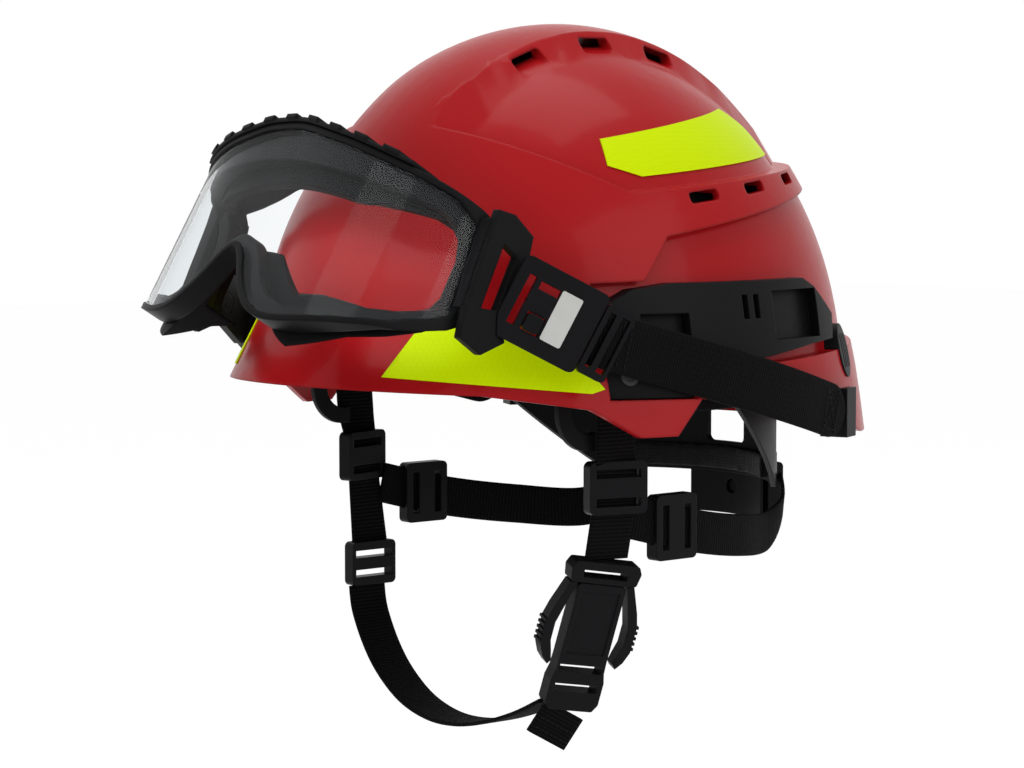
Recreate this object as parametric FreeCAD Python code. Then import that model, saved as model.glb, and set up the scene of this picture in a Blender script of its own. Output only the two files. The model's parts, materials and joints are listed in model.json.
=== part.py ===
import FreeCAD, Part
import math, os

# Rescue helmet with goggles and a four-point harness.
# Frame: +Z up, the face looks along -Y, the wearer's left is +X.  The origin is the centre of the
# head opening, level with the shell's side rim.

os.makedirs("parts", exist_ok=True)
doc = FreeCAD.newDocument("rescue_helmet")
sheet = doc.addObject("Spreadsheet::Sheet", "Sizes")

SIZES = (
    # shell
    ("shell_half_width", 106, "dome, centre to side"),
    ("shell_half_length", 126, "dome, centre to front or back"),
    ("shell_rise", 143, "origin to the top of the ridge"),
    ("shell_wall", 3.4, "moulded shell wall"),
    ("skirt_height", 42, "where the flared skirt leaves the dome"),
    ("brim_reach", 14, "brim beyond the dome at the front"),
    ("nape_reach", 7, "lip beyond the dome at the back"),
    ("side_reach", 4, "flare beyond the dome at the sides"),
    ("rim_front", 9, "rim height at the brim"),
    ("rim_side", 3, "rim height over the temples"),
    ("rim_back", 20, "how far the back lip drops below the origin"),
    ("flap_drop", 11, "how far the ear flap drops below the origin"),
    ("flap_back", -42, "fore and aft place of the ear flap"),
    ("ridge_half", 24, "half width of the crown ridge"),
    ("panel_depth", 6.5, "recess of the upper side panels"),
    ("pocket_depth", 4.5, "recess of the lower side panels"),
    ("band_front", -35, "upper corner of the raised side band"),
    ("band_height", 77.5, "upper edge of the raised side band"),
    ("band_width", 16, "width of the raised side band"),
    ("rail_front", -59, "front end of the side rail"),
    ("rail_back", 64, "back end of the side rail"),
    ("rail_low", 3, "lower edge of the side rail"),
    ("rail_high", 44.5, "upper edge of the side rail"),
    ("rail_proud", 1.5, "side rail proud of the dome"),
    ("clip_back", 74, "fore and aft place of the rear clip"),
    ("vent_long", 15, "length of a vent slot"),
    ("vent_tall", 4.2, "height of a vent slot"),
    ("marker_thick", 0.4, "thickness of the reflective markers"),
    ("clearance", 0.3, "gap between neighbours that only lie together"),
    # liner and headband
    ("liner_thick", 16, "impact liner"),
    ("liner_lift", 9, "liner edge above the rim"),
    ("band_thick", 2.4, "headband plastic"),
    ("band_low", -6, "lower edge of the headband"),
    ("band_tall", 25, "height of the headband"),
    ("cradle_low", -42, "lower edge of the nape cradle"),
    ("cradle_rail", 13, "height of the cradle's lower rail"),
    ("cradle_start", 28, "where the nape cradle leaves the headband"),
    ("strut_wide", 10, "width of a cradle strut"),
    ("pad_thick", 5, "comfort pads"),
    # nape ratchet
    ("rack_radius", 66, "inner radius of the two racks"),
    ("rack_thick", 1.8, "rack thickness"),
    ("rack_reach", 27, "degrees that a rack reaches round"),
    ("pinion_radius", 4.2, "pitch radius of the pinion"),
    ("pinion_teeth", 8, "teeth of the pinion"),
    ("tooth_depth", 1.5, "depth of a rack tooth"),
    ("ratchet_height", -48, "height of the knob's axis"),
    ("knob_radius", 11, "grip radius of the knob"),
    ("knob_deep", 7, "depth of the knob"),
    # harness
    ("web_wide", 18, "chin and ear webbing"),
    ("web_thick", 1.6, "webbing thickness"),
    ("ear_half", 78, "centre to the ear slider"),
    ("ear_back", -38, "fore and aft place of the ear slider"),
    ("ear_low", 32, "ear slider below the origin"),
    ("slider_wide", 24, "ear slider width"),
    ("slider_tall", 20, "ear slider height"),
    ("slider_thick", 5.6, "ear slider thickness"),
    ("adjuster_long", 21, "rear adjuster length along its strap"),
    ("adjuster_tall", 25, "rear adjuster height"),
    ("lock_tall", 18, "chin ladder lock height"),
    ("chin_low", 130, "chin strap below the origin"),
    # buckle
    ("buckle_block", 20, "width of the buckle's tongue block"),
    ("buckle_span", 38, "width over the buckle's arms"),
    ("buckle_long", 40, "length of the buckle's arms"),
    ("buckle_thick", 6.5, "buckle thickness"),
    ("arm_wide", 3.6, "width of a buckle arm"),
    # goggles
    ("goggle_half_width", 86, "centre to the side of the frame"),
    ("goggle_wrap", 75, "how far the frame wraps back"),
    ("goggle_tilt", 31, "lean of the goggles, top backwards"),
    ("goggle_front", 151, "nose bridge in front of the origin"),
    ("goggle_height", 67, "nose bridge above the origin"),
    ("goggle_top", 42.5, "top of the frame above the nose bridge"),
    ("goggle_bottom", 37, "bottom of the frame below the nose bridge"),
    ("seal_bottom", 46, "bottom of the soft face seal below the nose bridge"),
    ("frame_deep", 9, "depth of the frame"),
    ("frame_lip", 6, "width of the frame round the lens"),
    ("lens_thick", 2.2, "goggle lens"),
    ("seal_deep", 20, "depth of the soft face seal"),
    ("elastic_wide", 21, "goggle strap width"),
    ("elastic_thick", 1.8, "goggle strap thickness"),
    ("plate_long", 34, "strap plate length"),
    ("plate_tall", 31, "strap plate height"),
    ("plate_thick", 3.2, "strap plate thickness"),
    ("hook_back", 62, "fore and aft place of the strap hook"),
    ("hook_low", 6, "strap hook below the origin"),
    ("screw_radius", 3.2, "rail screw head"),
)
for row, (alias, value, note) in enumerate(SIZES, 1):
    sheet.set("A%d" % row, alias)
    sheet.set("B%d" % row, str(value))
    sheet.set("C%d" % row, note)
    sheet.setAlias("B%d" % row, alias)
doc.recompute()


def V(x, y, z):
    return FreeCAD.Vector(x, y, z)


def size(alias):
    return float(getattr(sheet, alias))


class Sizes:
    """Every alias of the sheet as a plain attribute."""
    def __init__(self):
        for alias, _, _ in SIZES:
            setattr(self, alias, size(alias))


s = Sizes()
made = []


def add(label, shape, place=None):
    """Put one finished sub-part into the document."""
    if shape.ShapeType in ("Compound", "CompSolid") and len(shape.Solids) == 1:
        shape = shape.Solids[0]
    item = doc.addObject("Part::Feature", label)
    item.Shape = shape
    if place is not None:
        item.Placement = place
    item.Label = label
    made.append(item)
    return item


def both(label, shape):
    """The wearer's left piece and its mirror image."""
    add(label + "_left", shape)
    add(label + "_right", mirrored(shape))


def mirrored(shape):
    return shape.mirror(V(0, 0, 0), V(1, 0, 0))


def polygon(points):
    return Part.makePolygon(points + [points[0]])


def prism(points, along):
    return Part.Face(polygon(points)).extrude(along)


def side_prism(points, near, far):
    """Side-view outline (Y, Z) carried across from X = near to X = far."""
    return prism([V(near, y, z) for y, z in points], V(far - near, 0, 0))


def smooth_wire(points):
    curve = Part.BSplineCurve()
    curve.interpolate(Points=points, PeriodicFlag=True)
    return Part.Wire([curve.toShape()])


def grown(points, by):
    """A closed 2-D outline moved outwards (by > 0) or inwards along its normals."""
    area = sum(p[0] * q[1] - q[0] * p[1] for p, q in zip(points, points[1:] + points[:1]))
    turn = 1 if area > 0 else -1
    out = []
    for i, here in enumerate(points):
        last, following = points[i - 1], points[(i + 1) % len(points)]
        dx, dy = following[0] - last[0], following[1] - last[1]
        long = math.hypot(dx, dy)
        out.append((here[0] + turn * by * dy / long, here[1] - turn * by * dx / long))
    return out


# ---------------------------------------------------------------- shell

def ellipsoid(x, y, z):
    scale = FreeCAD.Matrix()
    scale.scale(x, y, z)
    return Part.makeSphere(1.0).transformGeometry(scale)


def dome(inset):
    return ellipsoid(s.shell_half_width - inset, s.shell_half_length - inset, s.shell_rise - inset)


def dome_height(x, y, inset=0.0):
    """Height of the dome over a point."""
    left = 1 - (x / (s.shell_half_width - inset)) ** 2 - (y / (s.shell_half_length - inset)) ** 2
    return (s.shell_rise - inset) * math.sqrt(max(left, 0.0))


def skirt_outline(z, side, front, back):
    points = []
    for step in range(28):
        angle = 2 * math.pi * step / 28
        across, ahead = math.sin(angle), math.cos(angle)
        reach = front if ahead > 0 else back
        points.append(V(side * across, -reach * ahead, z))
    return smooth_wire(points)


def skirt(inset, extra=0.0):
    """The flared lower part, from just inside the dome down past the rim."""
    w, d = s.shell_half_width, s.shell_half_length
    levels = (
        (s.skirt_height, w - 6, d - 9, d - 9),
        (0.52 * s.skirt_height, w - 0.4, d + 0.2 * s.brim_reach, d),
        (0.1 * s.skirt_height, w + 0.7 * s.side_reach, d + s.brim_reach, d + 0.6 * s.nape_reach),
        (-0.85 * s.skirt_height, w + 1.9 * s.side_reach, d + 1.8 * s.brim_reach, d + 1.6 * s.nape_reach),
    )
    wires = [skirt_outline(z - (extra if i == 3 else 0), a - inset, f - inset, b - inset)
             for i, (z, a, f, b) in enumerate(levels)]
    return Part.makeLoft(wires, True, False)


def hull(inset, extra=0.0):
    return dome(inset).fuse(skirt(inset, extra))


def ridge_side(inset):
    """Everything outside the sloping side wall of the crown ridge, on the wearer's left."""
    half = s.ridge_half - inset
    wires = []
    for share in (-0.95, -0.8, -0.65, -0.5, -0.35, -0.18, 0.0, 0.18, 0.35, 0.5, 0.65, 0.8, 0.95):
        y = share * s.shell_half_length
        top = dome_height(s.ridge_half, y) - inset
        wide = half + 6 * max(share, 0) ** 2
        wires.append(polygon([V(wide - 7.5, y, top + 10), V(wide + 12, y, top - 16), V(wide + 12, y, -60),
                              V(2 * s.shell_half_width, y, -60), V(2 * s.shell_half_width, y, top + 10)]))
    return Part.makeLoft(wires, True, True)


def upper_outline(inset):
    """Side view of the upper panel: a falling front ledge, then the top of the raised band."""
    low = s.band_height - inset * 1.1
    reach = 1.35 * s.shell_half_length
    return [(-reach, low + 0.52 * (reach + s.band_front)), (s.band_front - 0.5 * inset, low),
            (reach, low + 0.085 * (reach - s.band_front)), (reach, 2 * s.shell_rise),
            (-reach, 2 * s.shell_rise)]


def pocket_outline(inset):
    """Side view of the lower panel, which runs down into the seat of the side rail."""
    top, front = s.band_height - s.band_width, s.band_front + 9
    reach = 1.35 * s.shell_half_length
    flap_end = s.flap_back + 18
    outline = [(front, top), (front - 13, s.rail_high + 1), (s.rail_front - 0.3, s.rail_high + 0.3),
               (s.rail_front - 0.3, s.rail_low - 0.3), (flap_end, s.rail_low - 0.8),
               (flap_end + 7, s.rail_low + 9), (s.rail_back + 24, s.rail_low + 13.5),
               (reach, s.rail_low + 19), (reach, top + 0.16 * (reach - front))]
    return outline if inset == 0 else grown(outline, inset)


def form(inset, extra=0.0):
    """The shell's moulded form at an inset: dome and skirt, less the recessed side panels."""
    body = hull(inset, extra)
    upper = ridge_side(inset).common(side_prism(upper_outline(inset), 5, 2 * s.shell_half_width))
    upper = upper.cut(ellipsoid(s.shell_half_width - s.panel_depth - inset,
                                s.shell_half_length - 0.8 * s.panel_depth - inset,
                                s.shell_rise - s.panel_depth - inset))
    lower = side_prism(pocket_outline(inset), 0.3 * s.shell_half_width, 2 * s.shell_half_width)
    lower = lower.cut(ellipsoid(s.shell_half_width - s.pocket_depth - inset,
                                s.shell_half_length - 0.2 * s.pocket_depth - inset,
                                s.shell_rise - s.pocket_depth - inset))
    for tool in (upper, lower):
        body = body.cut(tool).cut(mirrored(tool))
    return body


def rim_outline(lift=0.0):
    """Side view of everything below the rim: brim, temple, ear flap, back lip."""
    c, far = s.flap_back, 1.6 * s.shell_half_length
    edge = [(-far, s.rim_front + 1), (c - 58, s.rim_side + 2), (c - 24, s.rim_side - 3.5),
            (c - 7, -s.flap_drop), (c + 8, -s.flap_drop), (c + 20, s.rim_side - 1),
            (c + 70, s.rim_side - 5), (c + 128, -s.rim_back + 2), (far, -s.rim_back - 3)]
    return [(y, z + lift) for y, z in edge] + [(far, -4 * s.skirt_height), (-far, -4 * s.skirt_height)]


def below_rim(lift=0.0):
    far = 1.6 * s.shell_half_width
    return side_prism(rim_outline(lift), -far, far)


def slot(long, tall, deep):
    """A round-ended vent slot along Y, cut along X, centred on the origin."""
    r = tall / 2 - 0.01
    body = Part.makeBox(deep, long, tall, V(-deep / 2, -long / 2, -tall / 2))
    return body.makeFillet(r * 0.7, [e for e in body.Edges if abs(e.tangentAt(e.FirstParameter).x) > 0.9])


def ridge_vents():
    tools = []
    for share in (-0.30, -0.03, 0.23):
        y = share * s.shell_half_length
        x = s.ridge_half + 1
        z = dome_height(s.ridge_half, y) - 4.6
        slope = math.degrees(math.atan2(-(s.shell_rise / s.shell_half_length) ** 2 * y, dome_height(0, y)))
        tool = slot(s.vent_long, s.vent_tall, 18)
        tool.rotate(V(0, 0, 0), V(0, 1, 0), 20)
        tool.rotate(V(0, 0, 0), V(1, 0, 0), slope)
        tool.translate(V(x, y, z))
        tools.append(tool)
    return tools


def band_vents():
    tools = []
    for step, shrink in enumerate((1.0, 0.85, 0.7)):
        y = s.band_front + 31 + 30 * step
        tool = slot(s.vent_long * shrink, s.vent_tall, 40)
        tool.rotate(V(0, 0, 0), V(1, 0, 0), 6)
        tool.translate(V(s.shell_half_width - 22 - 9 * step, y, s.band_height - 4.5 + 0.1 * (y - s.band_front)))
        tools.append(tool)
    return tools


outer_form = form(0)
shell = outer_form.cut(form(s.shell_wall, 1.0)).cut(below_rim())
vents = ridge_vents() + band_vents()
for vent in vents:
    shell = shell.cut(vent).cut(mirrored(vent))
add("outer_shell", shell)


# ---------------------------------------------------------------- pieces on the shell

def flush(outline, proud, near=None):
    """A moulding that fills the shell's recess and stands proud of the dome."""
    near = 0.3 * s.shell_half_width if near is None else near
    block = side_prism(outline, near, 2 * s.shell_half_width)
    return block.common(dome(-proud)).cut(outer_form)


def window(y0, y1, z0, z1):
    return Part.makeBox(3 * s.shell_half_width, y1 - y0, z1 - z0, V(0, y0, z0))


def side_rail():
    """Accessory rail: outline, two windows, two upright slots and a stepped end."""
    a, b, lo, hi = s.rail_front, s.rail_back, s.rail_low, s.rail_high
    end = s.flap_back + 18
    outline = [(a, lo), (end - 0.4, lo - 0.4), (end + 6.6, lo + 9.4), (b - 20, lo + 16.5), (b - 2, lo + 17.5),
               (b, lo + 27), (b - 14, hi - 3.5), (b - 22, hi), (a + 30, hi), (a + 14, hi - 2), (a, hi - 9)]
    rail = flush(outline, s.rail_proud)
    back_plate = dome(s.pocket_depth - 1.2)
    for y0, y1, z0, z1 in ((b - 45, b - 14, lo + 19, hi - 4), (a + 15, a + 35, lo + 22, hi - 11),
                           (b - 56, b - 53, hi - 14, hi - 5), (b - 62, b - 59, hi - 14, hi - 5)):
        rail = rail.cut(window(y0, y1, z0, z1).cut(back_plate))
    return rail


rail = side_rail()
both("side_rail", rail)

# Rear clip: a ribbed oval button behind the rail, square to the dome.
clip_point = V(0.70 * s.shell_half_width, s.clip_back + 4, 0)
clip_turn = math.degrees(math.atan2(clip_point.y / s.shell_half_length ** 2, clip_point.x / s.shell_half_width ** 2))


def rear_clip():
    oval = Part.makeCylinder(1, 40, V(0, 0, -12), V(0, 0, 1))
    stretch = FreeCAD.Matrix()
    stretch.scale(10.5, 7, 1)
    oval = oval.transformGeometry(stretch)
    ribs = [Part.makeBox(13, 1.1, 40, V(-6.5, -4 + 2.6 * i, 0.4)) for i in range(4)]
    place = FreeCAD.Placement(V(0.80 * s.shell_half_width, s.clip_back, s.rail_low + 12),
                              FreeCAD.Rotation(V(0, 0, 1), clip_turn)
                              * FreeCAD.Rotation(V(0, 1, 0), 90))
    oval = oval.transformGeometry(place.toMatrix()).common(hull(-3.0)).cut(outer_form)
    for rib in ribs:
        rib = rib.transformGeometry(place.toMatrix())
        oval = oval.cut(rib.common(hull(-6)).cut(hull(-1.8)))
    return oval


both("rear_clip", rear_clip())

# Reflective markers: thin films on the panel floor and round the brow.
film_low, film_high = 0.2, 0.2 + s.marker_thick
floor, film = [ellipsoid(s.shell_half_width - s.panel_depth + lift, s.shell_half_length - 0.8 * s.panel_depth + lift,
                         s.shell_rise - s.panel_depth + lift) for lift in (film_low, film_high)]
b, h = s.band_front, s.band_height
crown_outline = [(b + 1, h + 20), (b - 1, h + 10), (b + 11, h + 6), (b + 106, h + 14.5), (b + 97, h + 24),
                 (b + 77, h + 32)]
crown_marker = side_prism(crown_outline, s.ridge_half + 16, 2 * s.shell_half_width).common(film).cut(floor)
both("crown_marker", crown_marker)

brow_outline = [(s.flap_back - 96, s.rim_front + 4), (s.flap_back - 24, s.rim_side + 2.5),
                (s.flap_back - 19, s.rim_side + 4), (s.flap_back - 26, s.rim_side + 14),
                (s.flap_back - 60, s.rim_front + 27), (s.flap_back - 90, s.rim_front + 22)]
brow_marker = side_prism(brow_outline, 22, 2 * s.shell_half_width).common(hull(-film_high)).cut(hull(-film_low))
brow_marker = brow_marker.cut(outer_form)
both("brow_marker", brow_marker)

# ---------------------------------------------------------------- liner and headband

liner_out = s.shell_wall + s.panel_depth + s.clearance
liner_in = liner_out + s.liner_thick
liner = dome(liner_out).cut(dome(liner_in)).cut(below_rim(s.liner_lift))
for y in (-0.34, -0.08, 0.18):
    for x in (-26, 26):
        hole = Part.makeCylinder(5, 80, V(x, y * s.shell_half_length, 0.6 * s.shell_rise), V(0, 0, 1))
        liner = liner.cut(hole)
add("impact_liner", liner)

pad_zone = Part.makeBox(70, 90, 60, V(-35, -45, s.shell_rise - 60))
crown_pad = dome(liner_in + s.clearance).cut(dome(liner_in + s.clearance + s.pad_thick)).common(pad_zone)
add("crown_pad", crown_pad)

head_x = s.shell_half_width - liner_in - s.clearance - 1.6
head_y = s.shell_half_length - liner_in - s.clearance - 2.0


def ring(outer_inset, thick, low, tall):
    """An oval ring round the head: a straight-walled band."""
    def oval(inset, z, up):
        curve = Part.Ellipse(V(0, 0, z), head_y - inset, head_x - inset)
        curve.rotate(FreeCAD.Placement(V(0, 0, 0), FreeCAD.Rotation(V(0, 0, 1), 90)))
        return Part.Face(Part.Wire([curve.toShape()])).extrude(V(0, 0, up))
    return oval(outer_inset, low, tall).cut(oval(outer_inset + thick, low - 1, tall + 2))


# The headband's lower edge climbs from the temples to the brow.
low_front = side_prism([(-2 * head_y, s.band_low + 13), (-0.9 * head_y, s.band_low + 12), (0.1 * head_y, s.band_low - 0.5),
                        (0.1 * head_y, s.band_low - 9), (-2 * head_y, s.band_low - 9)], -2 * head_x, 2 * head_x)
headband = ring(0, s.band_thick, s.band_low, s.band_tall).cut(low_front)
add("headband", headband)

brow_zone = Part.makeBox(90, 60, s.band_tall - 2, V(-45, -head_y - 5, s.band_low + 1))
brow_pad = ring(s.band_thick + 0.02, s.pad_thick, s.band_low, s.band_tall).common(brow_zone)
add("brow_pad", brow_pad.cut(low_front.translated(V(0, 0, 1))))

# Nape cradle: upper rail, lower rail and struts under the headband, open between them.
cradle_tall = s.band_low - s.cradle_low
back_zone = prism([V(-2 * head_x, s.cradle_start + 44, s.cradle_low - 1), V(-2 * head_x, s.cradle_start, s.band_low + 1),
                   V(-2 * head_x, 2 * head_y, s.band_low + 1), V(-2 * head_x, 2 * head_y, s.cradle_low - 1)],
                  V(4 * head_x, 0, 0))
cradle = ring(0, s.band_thick, s.cradle_low, cradle_tall).common(back_zone)
gap_low, gap_high = s.cradle_low + s.cradle_rail, s.band_low - 7
for middle in (-30, 0, 30):
    turn = math.radians(middle)
    opening = Part.makeBox(26 - s.strut_wide + 6, 60, gap_high - gap_low, V(-(26 - s.strut_wide + 6) / 2, 0, 0))
    opening = opening.makeFillet(2.5, [e for e in opening.Edges if abs(e.tangentAt(e.FirstParameter).y) > 0.9])
    opening.translate(V(0, head_y - 45, gap_low))
    opening.rotate(V(0, 0, 0), V(0, 0, 1), middle)
    cradle = cradle.cut(opening)
add("nape_cradle", cradle)
nape_zone = Part.makeBox(80, 60, s.cradle_rail - 2, V(-40, head_y - 40, s.cradle_low + 1))
add("nape_pad", ring(s.band_thick + 0.02, s.pad_thick, s.cradle_low, cradle_tall).common(nape_zone))

# ---------------------------------------------------------------- nape ratchet

rack_y = head_y + s.clearance + 1.4 - s.rack_radius
rack_mid = s.rack_radius + s.rack_thick / 2
tooth_pitch = 2 * math.pi * s.pinion_radius / s.pinion_teeth


def sector(inner, outer, low, tall, start, end):
    """A piece of a ring round the racks' centre; angles in degrees from straight back."""
    disc = Part.makeCylinder(outer, tall, V(0, 0, low), V(0, 0, 1), end - start)
    disc = disc.cut(Part.makeCylinder(inner, tall + 2, V(0, 0, low - 1)))
    disc.rotate(V(0, 0, 0), V(0, 0, 1), 90 + start)
    disc.translate(V(0, rack_y, 0))
    return disc


def rack(side):
    """One toothed tension band: teeth face the pinion from above (left) or below (right)."""
    up = 1 if side > 0 else -1
    tip, root = s.pinion_radius - 0.6, s.pinion_radius - 0.6 + s.tooth_depth
    low = s.ratchet_height + (root if up > 0 else -root - 4)
    start, end = (-s.rack_reach, 14) if side > 0 else (-14, s.rack_reach)
    band = sector(s.rack_radius, s.rack_radius + s.rack_thick, low, 4, start, end)
    step = math.degrees(tooth_pitch / rack_mid)
    for i in range(-4, 4):
        angle = (i + 0.5) * step
        flank = ((-0.6, root + 0.3), (0.6, root + 0.3), (0.35, tip), (-0.35, tip))
        tooth = prism([V(x, 0, s.ratchet_height + up * z) for x, z in flank], V(0, s.rack_thick - 0.1, 0))
        tooth.translate(V(0, rack_y + s.rack_radius + 0.05, 0))
        tooth.rotate(V(0, rack_y, 0), V(0, 0, 1), angle)
        band = band.fuse(tooth)
    return band.removeSplitter()


add("nape_band_left", rack(1))
add("nape_band_right", rack(-1))

house_low, house_tall = s.ratchet_height - s.pinion_radius - 7.5, 2 * s.pinion_radius + 15
housing = sector(s.rack_radius - 1.3, s.rack_radius + 9, house_low, house_tall, -19, 19)
housing = housing.cut(sector(s.rack_radius - 0.3, s.rack_radius + s.rack_thick + s.clearance,
                             s.ratchet_height - s.pinion_radius - 5.2, 2 * s.pinion_radius + 10.4, -22, 22))
rear_face = rack_y + s.rack_radius + 9
bore = Part.makeCylinder(3.05, 30, V(0, rear_face - 12, s.ratchet_height), V(0, 1, 0))
housing = housing.cut(bore)
housing = housing.makeFillet(2, [e for e in housing.Edges if e.BoundBox.YMin > rear_face - 8
                                 and e.BoundBox.ZLength < 0.1 and e.Length > 15])
add("nape_housing", housing)


def ratchet_knob():
    """Fluted grip, shaft and pinion in one moulding, turning about Y."""
    at = rack_y + s.rack_radius
    body = Part.makeCylinder(s.knob_radius, s.knob_deep, V(0, 0, 0), V(0, 1, 0))
    body = body.makeFillet(1.2, [e for e in body.Edges if e.BoundBox.YMin > s.knob_deep - 0.1])
    for i in range(12):
        flute = Part.makeCylinder(1.6, 40, V(s.knob_radius + 0.5, -5, 0), V(0, 1, 0))
        flute.rotate(V(0, 0, 0), V(0, 1, 0), 30 * i)
        body = body.cut(flute)
    body.translate(V(0, rear_face + 0.4, 0))
    shaft = Part.makeCylinder(3.0, rear_face + 1 - at - s.rack_thick - s.clearance - 0.2,
                              V(0, at + s.rack_thick + s.clearance + 0.2, 0), V(0, 1, 0))
    core = Part.makeCylinder(2.7, s.rack_thick + s.clearance + 0.3, V(0, at, 0), V(0, 1, 0))
    body = body.fuse(shaft).fuse(core)
    tip = s.pinion_radius + 0.8
    for i in range(int(s.pinion_teeth)):
        flank = ((-0.65, 2.2), (0.65, 2.2), (0.45, tip), (-0.45, tip))
        tooth = prism([V(x, at, z) for x, z in flank], V(0, s.rack_thick - 0.1, 0))
        tooth.rotate(V(0, 0, 0), V(0, 1, 0), 360.0 * i / s.pinion_teeth)
        body = body.fuse(tooth)
    body.translate(V(0, 0, s.ratchet_height))
    return body.removeSplitter()


add("ratchet_knob", ratchet_knob())

# ---------------------------------------------------------------- harness

def frame_of(down, out):
    """Rotation whose local -Y runs down the strap and local +Z faces outwards."""
    y = FreeCAD.Vector(down).negative().normalize()
    z = FreeCAD.Vector(out)
    z = (z - y * z.dot(y)).normalize()
    x = y.cross(z)
    return FreeCAD.Rotation(FreeCAD.Matrix(x.x, y.x, z.x, 0, x.y, y.y, z.y, 0, x.z, y.z, z.z, 0, 0, 0, 0, 1))


def webbing(stations, wide, thick):
    """Flat webbing through stations of (point, width direction, facing)."""
    wires = []
    for point, across, facing in stations:
        a = FreeCAD.Vector(across).normalize() * (wide / 2)
        n = FreeCAD.Vector(facing).normalize() * (thick / 2)
        wires.append(polygon([point - a - n, point + a - n, point + a + n, point - a + n]))
    return Part.makeLoft(wires, True, True)


def plate(wide, tall, thick, corner, windows):
    """A rounded plate centred on the origin, facing +Z, with windows (x, y, wide, tall)."""
    body = Part.makeBox(wide, tall, thick, V(-wide / 2, -tall / 2, -thick / 2))
    body = body.makeFillet(corner, [e for e in body.Edges if abs(e.tangentAt(e.FirstParameter).z) > 0.9])
    for x, y, w, t in windows:
        body = body.cut(Part.makeBox(w, t, 3 * thick, V(x - w / 2, y - t / 2, -1.5 * thick)))
    return body


def placed(shape, point, turn):
    return shape.transformGeometry(FreeCAD.Placement(point, turn).toMatrix())


ear = V(s.ear_half, s.ear_back, -s.ear_low)
cheek = V(math.cos(math.radians(15)), -math.sin(math.radians(15)), 0)
cheek_across = V(-cheek.y, cheek.x, 0)
side_out, side_across = V(1, 0, 0), V(0, 1, 0)
hang = V(head_x + 2.2, s.ear_back - 3, s.band_low + 17)
buckle_top = ear + V(-5, -1, -30)
buckle_end = ear + V(-20, -5, -80)
buckle_down = (buckle_end - buckle_top).normalize()
buckle_turn = frame_of(buckle_down, cheek)
lock_at = V(ear.x - 5, ear.y, ear.z - 44)

tops = [(hang, side_across, side_out), (V(hang.x, hang.y + 1, s.band_low - 6), side_across, side_out),
        (ear + V(0, 0, s.slider_tall * 0.15), cheek_across, cheek)]
front_strap = webbing(tops, s.web_wide, s.web_thick)

low_left = webbing([(ear + V(0, 0, -s.slider_tall * 0.15), cheek_across, cheek),
                    (buckle_top + V(0.6, 0.2, 2.6), cheek_across, cheek)], s.web_wide, s.web_thick)
low_right = webbing([(ear + V(0, 0, -s.slider_tall * 0.15), cheek_across, cheek),
                     (lock_at + V(0, 0, s.lock_tall * 0.30), side_across, side_out)], s.web_wide, s.web_thick)

nape_turn = math.radians(36)
nape_out = V(math.sin(nape_turn) / head_x, math.cos(nape_turn) / head_y, 0).normalize()
nape_end = V(head_x * math.sin(nape_turn), head_y * math.cos(nape_turn), 0) + nape_out * (s.web_thick / 2 + 0.4)
rear_path = (V(ear.x - 1.5, ear.y + 9, ear.z - 12), V(ear.x - 2, ear.y + 42, ear.z - 20),
             V(ear.x - 9, ear.y + 74, ear.z - 25), V(ear.x - 23, ear.y + 102, ear.z - 27),
             nape_end + nape_out * 1.2 + V(1.5, -2, s.cradle_low - 9), nape_end + V(0, 0, s.cradle_low + 4))
rear_web = s.web_wide - 1.5


def rear_stations():
    stations = []
    for i, here in enumerate(rear_path):
        before, after = rear_path[max(i - 1, 0)], rear_path[min(i + 1, len(rear_path) - 1)]
        run = (after - before).normalize()
        flat = V(run.y, -run.x, 0).normalize() if i < 4 else nape_out
        if i == 3:
            flat = (flat + nape_out).normalize()
        stations.append((here, run.cross(flat), flat))
    return stations


rear_strap = webbing(rear_stations(), rear_web, s.web_thick)
slider_turn = frame_of(V(0, 0, -1), cheek)
room = 2 * s.clearance

# Ear slider: a three-bar plate where the front, rear and chin webbing meet.
slot_tall = 3.2
slider = placed(plate(s.slider_wide, s.slider_tall, s.slider_thick, 2.5,
                      [(0, s.slider_tall * 0.27, s.web_wide + room, slot_tall),
                       (0, -s.slider_tall * 0.27, s.web_wide + room, slot_tall)]), ear, slider_turn)


def cleared(body, webs):
    for web in webs:
        body = body.cut(web)
    return body


fat = s.web_thick + room
fat_top = webbing(tops, s.web_wide + room, fat)
fat_left = webbing([(ear + V(0, 0, -s.slider_tall * 0.15), cheek_across, cheek),
                    (buckle_top + V(0.6, 0.2, 2.6), cheek_across, cheek)], s.web_wide + room, fat)
fat_right = webbing([(ear + V(0, 0, -s.slider_tall * 0.15), cheek_across, cheek),
                     (lock_at + V(0, 0, s.lock_tall * 0.30), side_across, side_out)], s.web_wide + room, fat)
fat_rear = webbing(rear_stations(), rear_web + room, fat)

liner_item = doc.getObject("impact_liner")
groove = Part.makeBox(8, s.web_wide + 2, 40, V(head_x - 0.5, hang.y - s.web_wide / 2 - 1, s.band_low - 10))
liner_item.Shape = liner_item.Shape.cut(groove).cut(mirrored(groove))

add("front_strap_left", front_strap)
add("front_strap_right", mirrored(front_strap))
add("ear_slider_left", cleared(slider, (fat_top, fat_left, fat_rear)))
add("ear_slider_right", mirrored(cleared(slider, (fat_top, fat_right, fat_rear))))
add("rear_strap_left", cleared(rear_strap, (fat_left,)))
add("rear_strap_right", mirrored(cleared(rear_strap, (fat_right,))))
add("lower_strap_left", low_left)
add("lower_strap_right", mirrored(low_right))

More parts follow.
